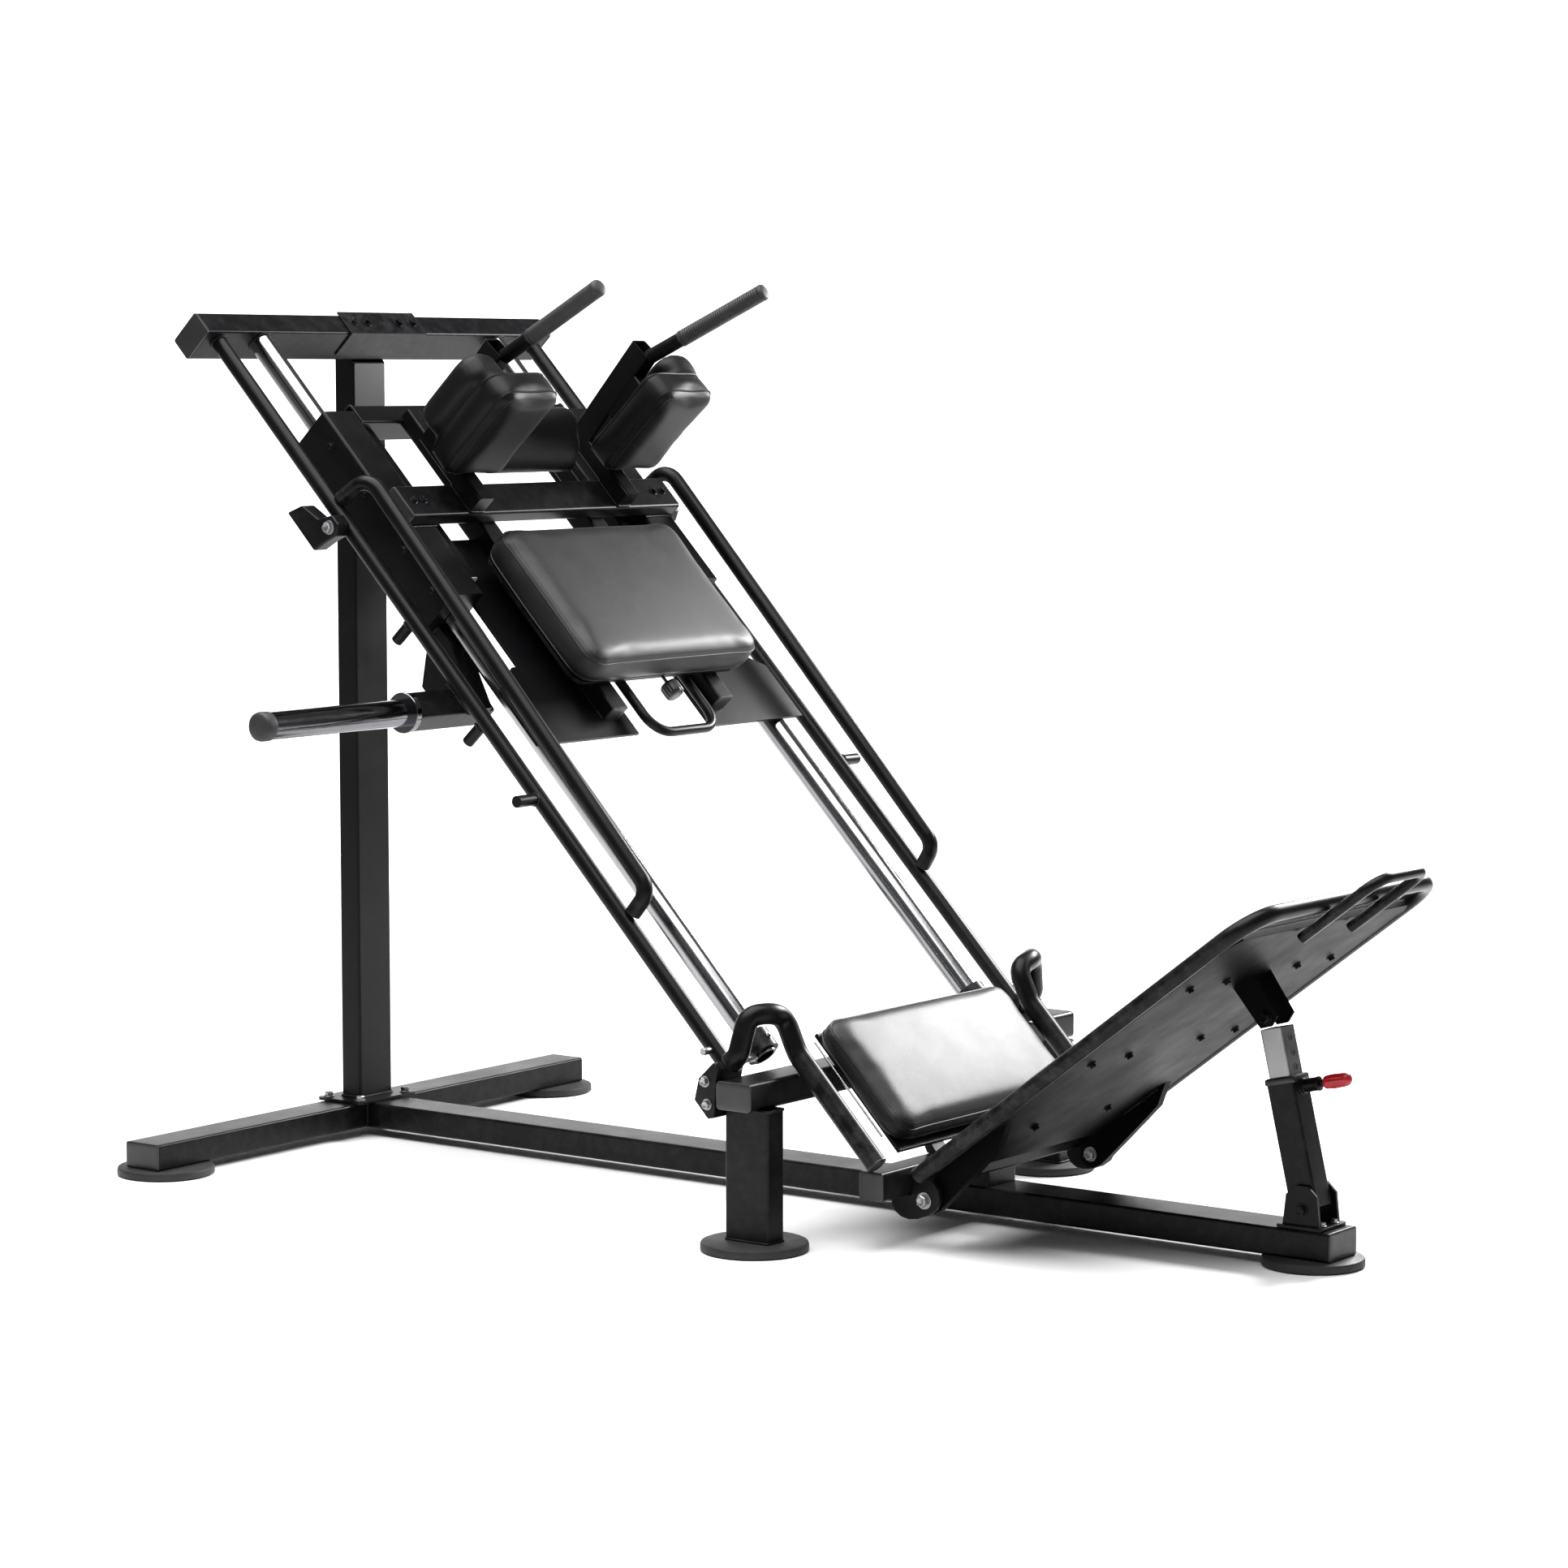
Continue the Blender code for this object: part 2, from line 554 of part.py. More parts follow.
# Weight horn
HORN_S = 0.830
HORN_N = -0.0925
ARM_END = 0.495
box_tube("horn_arm", rail(HORN_S, -0.290, HORN_N), rail(HORN_S, -ARM_END, HORN_N), DOWN, 0.060, 0.045, BLACK, wall=0.005)
gusset = [(HOUSING_END + GAP, -0.012), (0.740, -0.012), (0.868, -0.052), (0.868, -0.0697), (0.7995, -0.0697),
          (0.7995, -0.1205), (0.7535, -0.1205), (0.722, -0.078), (HOUSING_END + GAP, -0.046)]
plate("horn_gusset", gusset, RAIL_TOP - Y * 0.345, DOWN, OUT, 0.050, BLACK)
horn_profile = [(0.019, 0.0), (0.0375, 0.0), (0.0375, 0.011), (0.0365, 0.012), (0.025, 0.012), (0.025, 0.381),
                (0.022, 0.385), (0.019, 0.385)]
turned("weight_horn", rail(HORN_S, -ARM_END - GAP, HORN_N), -Y, horn_profile, CHROME, ring=True)

# Loop handle and its spring pin under the back pad
HANDLE_N = 0.0665
loop_path = filleted([rail(0.900, -0.100, HANDLE_N), rail(1.052, -0.100, HANDLE_N), rail(1.052, 0.092, HANDLE_N),
                      rail(0.900, 0.092, HANDLE_N)], 0.045, 6)
swept("carriage_handle", loop_path, 0.0095, BLACK, count=14)

knob_foot = rail(0.9328, 0.010, 0.0803)
turned("carriage_knob", knob_foot, DOWN, [(0.0035, 0.0), (0.0035, 0.018), (0.017, 0.020), (0.019, 0.026),
                                           (0.019, 0.042), (0.014, 0.048)], PLASTIC, origin=knob_foot)

# Safety hooks, one beside each side tube
for side, sign in SIDES:
    pivot = rail(0.470, sign * 0.4925, SIDE_N)
    hook = [(0.380, -0.046), (0.395, -0.010), (0.440, 0.002), (0.458, 0.032), (0.482, 0.032), (0.492, 0.012),
            (0.484, -0.012), (0.476, -0.046)]
    plate(f"safety_hook_{side}", hook, RAIL_TOP + Y * sign * 0.4925, DOWN, OUT, 0.034, BLACK, origin=pivot)

# ---------------------------------------------------------------- hinged panel
PANEL_E0 = 0.030
BOARD_E1 = 0.800
BOARD_HALF = 0.306
LOOP_R = 0.0145
LOOP_Y = BOARD_HALF + LOOP_R + GAP
LOOP_M = 0.0306
board = plate("panel_board", [(PANEL_E0, -BOARD_HALF), (BOARD_E1 - 0.022, -BOARD_HALF), (BOARD_E1, 0.022 - BOARD_HALF),
                              (BOARD_E1, BOARD_HALF - 0.022), (BOARD_E1 - 0.022, BOARD_HALF),
                              (PANEL_E0, BOARD_HALF)], panel(0, 0, BOARD_M + BOARD_T / 2), ALONG, Y, BOARD_T, BLACK,
              origin=HINGE)
lug_outline = [(0.433, 0.086), (0.437, 0.071), (0.450, 0.061), (0.466, 0.061), (0.480, 0.068), (0.530, 0.118),
               (0.600, 0.190), (0.620, 0.244), (0.600, 0.2287), (0.500, 0.1528), (0.474, 0.128), (0.450, 0.112),
               (0.437, 0.101)]
lugs = []
for side, sign in SIDES:
    lugs.append(plate(f"helper_lug_{side}", lug_outline, Vector((0, sign * 0.262, 0)), X, Z, 0.020, BLACK))
HEAD_E = (STRUT_HEAD - PANEL_FOOT).dot(ALONG)
HEAD_M = (STRUT_HEAD - PANEL_FOOT).dot(FACE)
for side, sign in SIDES:
    ear = [(HEAD_E - 0.024, 0.022), (HEAD_E - 0.020, HEAD_M - 0.010), (HEAD_E, HEAD_M - 0.018),
           (HEAD_E + 0.020, HEAD_M - 0.010), (HEAD_E + 0.024, 0.022)]
    lugs.append(plate(f"helper_ear_{side}", ear, PANEL_FOOT + Y * sign * 0.028, ALONG, FACE, 0.006, BLACK))
fuse(board, *lugs)

pad_low = BOARD_M + BOARD_T + GAP
slab("panel_pad", panel((PANEL_E0 + BOARD_E1) / 2, 0, (pad_low + PAD_M) / 2), ALONG, Y, BOARD_E1 - PANEL_E0,
     2 * BOARD_HALF - 0.002, PAD_M - pad_low, 0.030, 0.009, VINYL, origin=HINGE)

end_e = 0.872 - LOOP_R
frame_path = filleted([panel(PANEL_E0, -LOOP_Y, LOOP_M), panel(end_e, -LOOP_Y, LOOP_M),
                       panel(end_e, LOOP_Y, LOOP_M), panel(PANEL_E0, LOOP_Y, LOOP_M)], 0.070, 8)
swept("panel_loop", frame_path, LOOP_R, BLACK, wall=0.0025, origin=HINGE)

grab_m = LOOP_M - LOOP_R - 0.0095 - GAP
grab_path = filleted([panel(0.785, -0.085, grab_m), panel(0.9662, -0.085, grab_m), panel(0.9662, 0.085, grab_m),
                      panel(0.785, 0.085, grab_m)], 0.035, 6)
swept("panel_grab_bar", grab_path, 0.0095, BLACK, count=14, origin=HINGE)

# ---------------------------------------------------------------- telescopic strut
SLEEVE_LOW = 0.0
SLEEVE_TOP = 0.222
box_tube("strut_sleeve", strut(SLEEVE_LOW, 0, 0), strut(SLEEVE_TOP, 0, 0), Y, 0.054, 0.054, BLACK, wall=0.003,
         origin=STRUT_FOOT)
tube = box_tube("strut_tube", strut(0.130, 0, 0), strut(0.312, 0, 0), Y, 0.044, 0.044, ZINC, wall=0.003, r=0.004)
foot = Vector((STRUT_FOOT.x, 0, 0))
base = plate("strut_bracket", rounded(0.090, 0.088, 0.006), foot + Z * (BASE_LOW + BASE_H + GAP + 0.003), X, Y,
             0.006, BLACK)
cheeks = []
for side, sign in SIDES:
    cheek = [(-0.036, 0.070), (-0.030, 0.125), (-0.012, 0.142), (0.012, 0.142), (0.030, 0.125), (0.036, 0.070)]
    cheeks.append(plate(f"helper_cheek_{side}", cheek, foot + Y * sign * 0.033, X, Z, 0.006, BLACK))
fuse(base, *cheeks)

pin_root = strut(0.206, 0, 0.0273)
turned("strut_pull_pin", pin_root, STRUT_SQUARE, [(0.013, 0.0), (0.014, 0.001), (0.014, 0.022), (0.008, 0.024),
                                                  (0.008, 0.036), (0.017, 0.038), (0.019, 0.044), (0.016, 0.082),
                                                  (0.010, 0.088)], RED, count=20, origin=pin_root)

# ---------------------------------------------------------------- origin at the middle of the footprint
ORIGIN_SHIFT = Vector((0.0233, -0.10915, 0.0))
for obj in bpy.data.objects:
    obj.location -= ORIGIN_SHIFT
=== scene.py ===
"""Looks of a leg press and hack squat machine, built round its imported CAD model. Metres, +Z up.

"right" pieces stand at -Y and "left" pieces at +Y. Sloping places are given in rail coordinates (s, y, n):
s down the guide rods, y across, n square to the rods, up and forward. Places on the foot panel are (e, y, m):
e up the panel, m out from its underside. Places on the strut are (t, y, w): t up the strut, w to its front.
"""

import json
import math
import random
from typing import NamedTuple

import bmesh
import bpy
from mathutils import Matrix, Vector
from mathutils.bvhtree import BVHTree

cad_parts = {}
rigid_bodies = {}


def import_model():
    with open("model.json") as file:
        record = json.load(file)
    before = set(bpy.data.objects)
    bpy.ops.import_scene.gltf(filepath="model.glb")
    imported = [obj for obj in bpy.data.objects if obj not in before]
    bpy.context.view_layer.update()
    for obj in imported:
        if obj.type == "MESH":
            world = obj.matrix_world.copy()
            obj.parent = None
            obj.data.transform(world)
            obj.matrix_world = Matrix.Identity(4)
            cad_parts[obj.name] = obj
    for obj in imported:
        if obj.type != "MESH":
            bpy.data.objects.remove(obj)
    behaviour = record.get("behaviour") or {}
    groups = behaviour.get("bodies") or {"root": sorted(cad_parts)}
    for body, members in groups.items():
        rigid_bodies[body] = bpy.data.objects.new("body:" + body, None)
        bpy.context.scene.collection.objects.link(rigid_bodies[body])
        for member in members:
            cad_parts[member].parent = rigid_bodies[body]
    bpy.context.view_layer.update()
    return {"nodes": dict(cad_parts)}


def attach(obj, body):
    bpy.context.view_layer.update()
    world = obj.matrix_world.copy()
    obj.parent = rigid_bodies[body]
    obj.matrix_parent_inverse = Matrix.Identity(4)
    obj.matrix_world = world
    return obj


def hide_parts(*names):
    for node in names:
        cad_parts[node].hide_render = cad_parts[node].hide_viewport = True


for old in list(bpy.data.objects):
    bpy.data.objects.remove(old, do_unlink=True)

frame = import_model()
NODES = frame["nodes"]
random.seed(11)

# ---------------------------------------------------------------- the CAD's own frames
ORIGIN_SHIFT = Vector((0.0233, -0.10915, 0.0))
X = Vector((1.0, 0.0, 0.0))
Y = Vector((0.0, 1.0, 0.0))
Z = Vector((0.0, 0.0, 1.0))
RAIL_ANGLE = math.radians(46.45)
RAIL_TOP = Vector((-1.0488, 0.0, 1.5664)) - ORIGIN_SHIFT
DOWN = Vector((math.cos(RAIL_ANGLE), 0.0, -math.sin(RAIL_ANGLE)))
OUT = Vector((math.sin(RAIL_ANGLE), 0.0, math.cos(RAIL_ANGLE)))
PANEL_ANGLE = math.radians(37.2)
PANEL_FOOT = Vector((0.460, 0.0, 0.093)) - ORIGIN_SHIFT
ALONG = Vector((math.cos(PANEL_ANGLE), 0.0, math.sin(PANEL_ANGLE)))
FACE = Vector((-math.sin(PANEL_ANGLE), 0.0, math.cos(PANEL_ANGLE)))
STRUT_FOOT = Vector((1.060, 0.0, 0.100)) - ORIGIN_SHIFT
STRUT_HEAD = Vector((0.984, 0.0, 0.423)) - ORIGIN_SHIFT
STRUT = (STRUT_HEAD - STRUT_FOOT).normalized()
STRUT_SQUARE = Vector((STRUT.z, 0.0, -STRUT.x))
HINGE = Vector((0.458, 0.0, 0.086)) - ORIGIN_SHIFT
SIDES = (("right", -1), ("left", 1))

# Places that several trims share, as the CAD has them.
ROD_Y = 0.343
SIDE_Y = 0.457
TUBE_N = 0.012  # of the middle of the guide rods and of the side tubes
POST_X = -1.0966
FLANGE_TOP = 0.0736
BEAM_Z = 0.0423  # of the middle of the main beam and of the rear base tube
COLUMN_X = 0.2227
COLUMN_Y = 0.466
ARCH_Y = 0.372
YOKE_S = 0.494  # of the middle of the carriage's main tube
HORN_S = 0.830
HORN_N = -0.0925


def at(x, y, z):
    """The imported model's point for a place given in the CAD's working frame."""
    return Vector((x, y, z)) - ORIGIN_SHIFT


def rail(s, y, n):
    return RAIL_TOP + DOWN * s + Y * y + OUT * n


def panel(e, y, m):
    return PANEL_FOOT + ALONG * e + Y * y + FACE * m


def strut(t, y, w):
    return STRUT_FOOT + STRUT * t + Y * y + STRUT_SQUARE * w


# ---------------------------------------------------------------- materials
def new_material(name, colour, metallic, roughness, specular=0.5):
    mat = bpy.data.materials.new(name)
    mat.use_nodes = True
    shader = mat.node_tree.nodes["Principled BSDF"]
    shader.inputs["Base Color"].default_value = (*colour, 1.0)
    shader.inputs["Metallic"].default_value = metallic
    shader.inputs["Roughness"].default_value = roughness
    shader.inputs["Specular IOR Level"].default_value = specular
    return mat


class Surface:
    """Short names for the nodes that the materials share; all patterns are in metres, in object space."""

    def __init__(self, mat):
        self.tree = mat.node_tree
        self.shader = self.tree.nodes["Principled BSDF"]
        self.place = self.tree.nodes.new("ShaderNodeTexCoord").outputs["Object"]

    def link(self, a, b):
        self.tree.links.new(a, b)

    def stretched(self, rotation, scale):
        node = self.tree.nodes.new("ShaderNodeMapping")
        node.inputs["Rotation"].default_value = rotation
        node.inputs["Scale"].default_value = scale
        self.link(self.place, node.inputs["Vector"])
        return node.outputs["Vector"]

    def noise(self, scale, detail=3.0, rough=0.55, vector=None):
        node = self.tree.nodes.new("ShaderNodeTexNoise")
        node.inputs["Scale"].default_value = scale
        node.inputs["Detail"].default_value = detail
        node.inputs["Roughness"].default_value = rough
        self.link(self.place if vector is None else vector, node.inputs["Vector"])
        return node.outputs["Fac"]

    def cells(self, scale):
        """Distance to the nearest edge between the cells of a Voronoi pattern."""
        node = self.tree.nodes.new("ShaderNodeTexVoronoi")
        node.feature = "DISTANCE_TO_EDGE"
        node.inputs["Scale"].default_value = scale
        self.link(self.place, node.inputs["Vector"])
        return node.outputs["Distance"]

    def spread(self, value, low, high, start=0.3, end=0.7):
        """The value's range from start to end, spread over low to high."""
        node = self.tree.nodes.new("ShaderNodeMapRange")
        node.inputs["From Min"].default_value = start
        node.inputs["From Max"].default_value = end
        node.inputs["To Min"].default_value = low
        node.inputs["To Max"].default_value = high
        self.link(value, node.inputs["Value"])
        return node.outputs["Result"]

    def tones(self, value, dark, light, start=0.3, end=0.7):
        """A colour that goes from dark to light as the value goes from start to end."""
        node = self.tree.nodes.new("ShaderNodeValToRGB")
        node.color_ramp.elements[0].position = start
        node.color_ramp.elements[0].color = (*dark, 1.0)
        node.color_ramp.elements[1].position = end
        node.color_ramp.elements[1].color = (*light, 1.0)
        self.link(value, node.inputs["Fac"])
        return node.outputs["Color"]

    def mixed(self, factor, a, b):
        node = self.tree.nodes.new("ShaderNodeMix")
        node.data_type = "RGBA"
        self.link(factor, node.inputs["Factor"])
        self.link(a, node.inputs["A"])
        self.link(b, node.inputs["B"])
        return node.outputs["Result"]

    def bump(self, height, depth, strength=1.0, under=None):
        node = self.tree.nodes.new("ShaderNodeBump")
        node.inputs["Distance"].default_value = depth
        node.inputs["Strength"].default_value = strength
        self.link(height, node.inputs["Height"])
        if under is not None:
            self.link(under, node.inputs["Normal"])
        return node.outputs["Normal"]

    def set(self, socket, value):
        self.link(value, self.shader.inputs[socket])


def powder_coat(name, dark, light, rough, specular):
    """Satin powder coat: fine orange peel, faint cloudy gloss, and slightly paler sharp edges that are a
    painted highlight.
    """
    mat = new_material(name, dark, 0.0, rough[0], specular)
    s = Surface(mat)
    coat = s.tones(s.noise(3.2, 5.0, 0.6), dark, light)
    # Painted highlight: sharp edges are painted paler, in patches, where light would catch them.
    edge = s.tree.nodes.new("ShaderNodeNewGeometry").outputs["Pointiness"]
    edge_highlight = s.tones(edge, dark, EDGE_HIGHLIGHT, 0.53, 0.66)
    spots = s.spread(s.noise(38.0, 4.0, 0.7), 0.0, 0.75, 0.42, 0.70)
    s.set("Base Color", s.mixed(spots, coat, edge_highlight))
    s.set("Roughness", s.spread(s.noise(7.0, 6.0, 0.65), *rough))
    peel = s.bump(s.noise(620.0, 2.0, 0.5), 0.00012, 0.55)
    s.set("Normal", s.bump(s.noise(95.0, 2.0, 0.5), 0.00010, 0.35, peel))
    return mat


def streaked_metal(name, colour, rough, scale, depth, rotation=(0.0, 0.0, 0.0)):
    """Plated metal with fine scratches, drawn out along the direction in which the scale is smallest."""
    mat = new_material(name, colour, 1.0, rough[0])
    s = Surface(mat)
    drawn = s.noise(1.0, 6.0, 0.7, s.stretched(rotation, scale))
    handled = s.noise(9.0, 5.0, 0.6)
    dark = tuple(0.80 * c for c in colour)
    s.set("Base Color", s.tones(handled, dark, colour, 0.25, 0.60))
    mixed = s.tree.nodes.new("ShaderNodeMath")
    mixed.operation = "MULTIPLY_ADD"
    s.link(s.spread(drawn, 0.0, 0.6), mixed.inputs[0])
    mixed.inputs[1].default_value = 1.0
    s.link(s.spread(handled, 0.0, 0.4), mixed.inputs[2])
    s.set("Roughness", s.spread(mixed.outputs["Value"], *rough, 0.0, 1.0))
    s.set("Normal", s.bump(drawn, depth, 0.5))
    return mat


def grained_vinyl(name, dark, light, specular):
    """Upholstery vinyl: pebbled grain with creases between the pebbles, the creases painted darker as painted
    shade, and soft large folds.
    """
    mat = new_material(name, dark, 0.0, 0.42, specular)
    s = Surface(mat)
    crease = s.spread(s.cells(520.0), 0.0, 1.0, 0.0, 0.22)
    tone = s.tones(s.noise(5.5, 5.0, 0.6), dark, light)
    # Painted shade: the creases between the pebbles are painted darker than the pebbles.
    crease_shade = s.tones(crease, tuple(0.35 * c for c in dark), dark, 0.0, 1.0)
    s.set("Base Color", s.mixed(crease, crease_shade, tone))
    s.set("Roughness", s.spread(s.noise(14.0, 4.0, 0.6), 0.43, 0.48))
    s.shader.inputs["Sheen Weight"].default_value = 0.01
    s.shader.inputs["Sheen Roughness"].default_value = 0.4
    s.shader.inputs["Coat Weight"].default_value = 0.05
    s.shader.inputs["Coat Roughness"].default_value = 0.32
    grain = s.bump(crease, 0.00022, 0.45)
    s.set("Normal", s.bump(s.noise(26.0, 3.0, 0.5), 0.0010, 0.10, grain))
    return mat


def moulded(name, dark, light, rough, grain, depth):
    """Moulded rubber or plastic with a fine eroded texture."""
    mat = new_material(name, dark, 0.0, rough[0])
    s = Surface(mat)
    s.set("Base Color", s.tones(s.noise(16.0, 5.0, 0.65), dark, light))
    s.set("Roughness", s.spread(s.noise(30.0, 4.0, 0.6), *rough))
    s.set("Normal", s.bump(s.noise(grain, 3.0, 0.6), depth, 0.5))
    return mat


# Colour of the painted highlight on the powder coat's sharp edges.
EDGE_HIGHLIGHT = (0.060, 0.060, 0.064)
ALONG_RAILS = (0.0, -RAIL_ANGLE, 0.0)
PAINT = powder_coat("frame_paint", (0.0022, 0.0022, 0.0026), (0.0036, 0.0036, 0.0042), (0.30, 0.40), 0.14)
# A darker, less glossy copy of the frame paint: painted shade for the foot panel's underside and the bolts on
# it.
SHADED_PANEL_PAINT = powder_coat("shaded_panel_paint", (0.0018, 0.0018, 0.002), (0.0028, 0.0028, 0.0032), (0.42, 0.55), 0.03)
CHROME = streaked_metal("rod_chrome", (0.30, 0.30, 0.31), (0.11, 0.24), (14.0, 700.0, 700.0), 0.00003,
                        ALONG_RAILS)
# A darker copy of the rod chrome: painted shade for the weight horn.
SHADED_HORN_CHROME = streaked_metal("shaded_horn_chrome", (0.16, 0.16, 0.17), (0.08, 0.20), (300.0, 25.0, 300.0), 0.00004)
ZINC = streaked_metal("strut_zinc", (0.27, 0.27, 0.27), (0.26, 0.42), (500.0, 500.0, 18.0), 0.00005)
STEEL = streaked_metal("bolt_steel", (0.34, 0.34, 0.35), (0.28, 0.45), (400.0, 400.0, 400.0), 0.00003)
# Pale metal for the seat strips, which stand in for a highlight line: a painted highlight.
HIGHLIGHT_STRIP = streaked_metal("highlight_strip", (0.62, 0.62, 0.64), (0.22, 0.34), (14.0, 500.0, 500.0), 0.00003,
                       ALONG_RAILS)
VINYL = grained_vinyl("pad_vinyl", (0.0036, 0.0036, 0.0042), (0.0066, 0.0066, 0.0076), 0.40)
# A darker copy of the pad vinyl: painted shade for the shoulder pads and head rest.
SHADED_VINYL = grained_vinyl("shaded_pad_vinyl", (0.0022, 0.0022, 0.0026), (0.0040, 0.0040, 0.0046), 0.15)
RUBBER = moulded("foot_rubber", (0.008, 0.008, 0.0085), (0.017, 0.017, 0.0175), (0.50, 0.66), 420.0, 0.00018)
PLASTIC = moulded("cap_plastic", (0.010, 0.010, 0.011), (0.016, 0.016, 0.017), (0.36, 0.48), 700.0, 0.00010)
RED = moulded("pin_red", (0.300, 0.004, 0.010), (0.420, 0.008, 0.016), (0.28, 0.38), 500.0, 0.00006)
PALE = moulded("stay_end", (0.50, 0.50, 0.53), (0.64, 0.64, 0.67), (0.32, 0.42), 500.0, 0.00006)
THREAD = moulded("seam_thread", (0.020, 0.020, 0.022), (0.034, 0.034, 0.036), (0.55, 0.70), 2600.0, 0.00012)


# ---------------------------------------------------------------- CAD nodes: finish and rounded edges
def shading_group(name, weld, sharp_angle):
    """Geometry nodes that shade a mesh smooth up to its sharp edges, and first weld its points if asked."""
    group = bpy.data.node_groups.new(name, "GeometryNodeTree")
    group.interface.new_socket("Geometry", in_out="INPUT", socket_type="NodeSocketGeometry")
    group.interface.new_socket("Geometry", in_out="OUTPUT", socket_type="NodeSocketGeometry")
    start = group.nodes.new("NodeGroupInput")
    end = group.nodes.new("NodeGroupOutput")
    flow = start.outputs[0]
    if weld:
        merge = group.nodes.new("GeometryNodeMergeByDistance")
        merge.inputs["Distance"].default_value = WELD_DISTANCE
        group.links.new(flow, merge.inputs["Geometry"])
        flow = merge.outputs["Geometry"]
    smooth = group.nodes.new("GeometryNodeSetShadeSmooth")
    smooth.domain = "FACE"
    group.links.new(flow, smooth.inputs["Geometry"])
    angle = group.nodes.new("GeometryNodeInputMeshEdgeAngle")
    compare = group.nodes.new("FunctionNodeCompare")
    compare.operation = "LESS_THAN"
    compare.inputs["B"].default_value = sharp_angle
    group.links.new(angle.outputs["Unsigned Angle"], compare.inputs["A"])
    edges = group.nodes.new("GeometryNodeSetShadeSmooth")
    edges.domain = "EDGE"
    group.links.new(smooth.outputs["Geometry"], edges.inputs["Geometry"])
    group.links.new(compare.outputs["Result"], edges.inputs["Shade Smooth"])
    group.links.new(edges.outputs["Geometry"], end.inputs[0])
    return group


WELD_DISTANCE = 0.00004
WELDED = shading_group("weld_points", True, math.radians(31.0))
SHADED = shading_group("shade_edges", False, math.radians(48.0))


def round_edges(obj, width):
    """Rounds a hard-edged piece's edges with modifiers only, so its own mesh stays as it came."""
    first = obj.modifiers.new("weld", "NODES")
    first.node_group = WELDED
    if width:
        bevel = obj.modifiers.new("edges", "BEVEL")
        bevel.width = width
        bevel.segments = 2
        bevel.limit_method = "ANGLE"
        bevel.angle_limit = math.radians(32.0)
        bevel.use_clamp_overlap = True
        last = obj.modifiers.new("shade", "NODES")
        last.node_group = SHADED
        even = obj.modifiers.new("even", "WEIGHTED_NORMAL")
        even.keep_sharp = True


# The weight horn takes the darker chrome copy and the panel board the darker paint copy; both are painted
# shade.
FINISH = {"guide_rod_right": CHROME, "guide_rod_left": CHROME, "weight_horn": SHADED_HORN_CHROME, "strut_tube": ZINC,
          "crossbar_cap_right": PLASTIC, "crossbar_cap_left": PLASTIC, "panel_board": SHADED_PANEL_PAINT}
PLAIN_EDGE = 0.0010
EDGE = {"main_beam": 0.0022, "rear_base_tube": 0.0022, "lower_crossbar": 0.0022, "top_crossbar": 0.0022,
        "column_right": 0.002, "column_left": 0.002, "carriage_main_tube": 0.002, "panel_board": 0.0014,
        "seat_frame": 0.0012, "side_shoe_right": 0.003, "side_shoe_left": 0.003, "safety_hook_right": 0.0035,
        "safety_hook_left": 0.0035, "horn_gusset": 0.003, "pivot_bracket_right": 0.002,
        "pivot_bracket_left": 0.002, "strut_bracket": 0.0014}
# Nodes whose names start so are bent or turned, and have no long hard edges to round.
ROUND = ("guide_rod", "handrail", "arch", "panel_loop", "panel_grab_bar", "carriage_handle", "foot_",
         "rod_socket", "weight_horn")
for name, obj in NODES.items():
    obj.data.materials.clear()
    obj.data.materials.append(FINISH.get(name, RUBBER if name.startswith("foot_") else PAINT))
    round_edges(obj, 0.0 if name.startswith(ROUND) else EDGE.get(name, PLAIN_EDGE))


# ---------------------------------------------------------------- mesh helpers
def make(name, verts, faces, mat, body, sharp):
    """One new piece that rides on a body, shaded smooth between edges sharper than an angle in degrees."""
    mesh = bpy.data.meshes.new(name)
    mesh.from_pydata([tuple(v) for v in verts], [], faces)
    shape = bmesh.new()
    shape.from_mesh(mesh)
    bmesh.ops.recalc_face_normals(shape, faces=shape.faces)
    shape.to_mesh(mesh)
    shape.free()
    mesh.polygons.foreach_set("use_smooth", [True] * len(mesh.polygons))
    mesh.set_sharp_from_angle(angle=math.radians(sharp))
    mesh.materials.append(mat)
    obj = bpy.data.objects.new(name, mesh)
    bpy.context.scene.collection.objects.link(obj)
    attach(obj, body)
    return obj


class Batch:
    """Collects many small shapes that ride together and become one piece."""

    def __init__(self):
        self.verts = []
        self.faces = []

    def add(self, loops, closed=False, caps=True):
        """Joins each loop of points to the next, with a face on each end or the last joined to the first."""
        base = len(self.verts)
        count = len(loops[0])
        for loop in loops:
            self.verts += loop
        rows = len(loops) if closed else len(loops) - 1
        for i in range(rows):
            a = base + i * count
            b = base + ((i + 1) % len(loops)) * count
            for j in range(count):
                k = (j + 1) % count
                self.faces.append((a + j, a + k, b + k, b + j))
        if caps and not closed:
            self.faces.append(tuple(range(base, base + count)))
            top = base + (len(loops) - 1) * count
            self.faces.append(tuple(range(top, top + count)))

    def make(self, name, mat, body, slot, sharp=35.0):
        return make(name, self.verts, self.faces, mat, body, sharp)


def cross_axes(axis):
    """Two directions square to an axis and to each other."""
    u = Y if abs(axis.y) < 0.9 else X
    v = axis.cross(u).normalized()
    return v.cross(axis).normalized(), v


def ring(centre, u, v, radius, count, turn=0.0):
    """Points round a circle."""
    angles = [turn + 2 * math.pi * i / count for i in range(count)]
    return [centre + u * (radius * math.cos(a)) + v * (radius * math.sin(a)) for a in angles]


def turned(centre, axis, profile, count):
    """Loops of a turned shape; profile is a list of (radius, height)."""
    axis = axis.normalized()
    u, v = cross_axes(axis)
    return [ring(centre + axis * h, u, v, r, count) for r, h in profile]


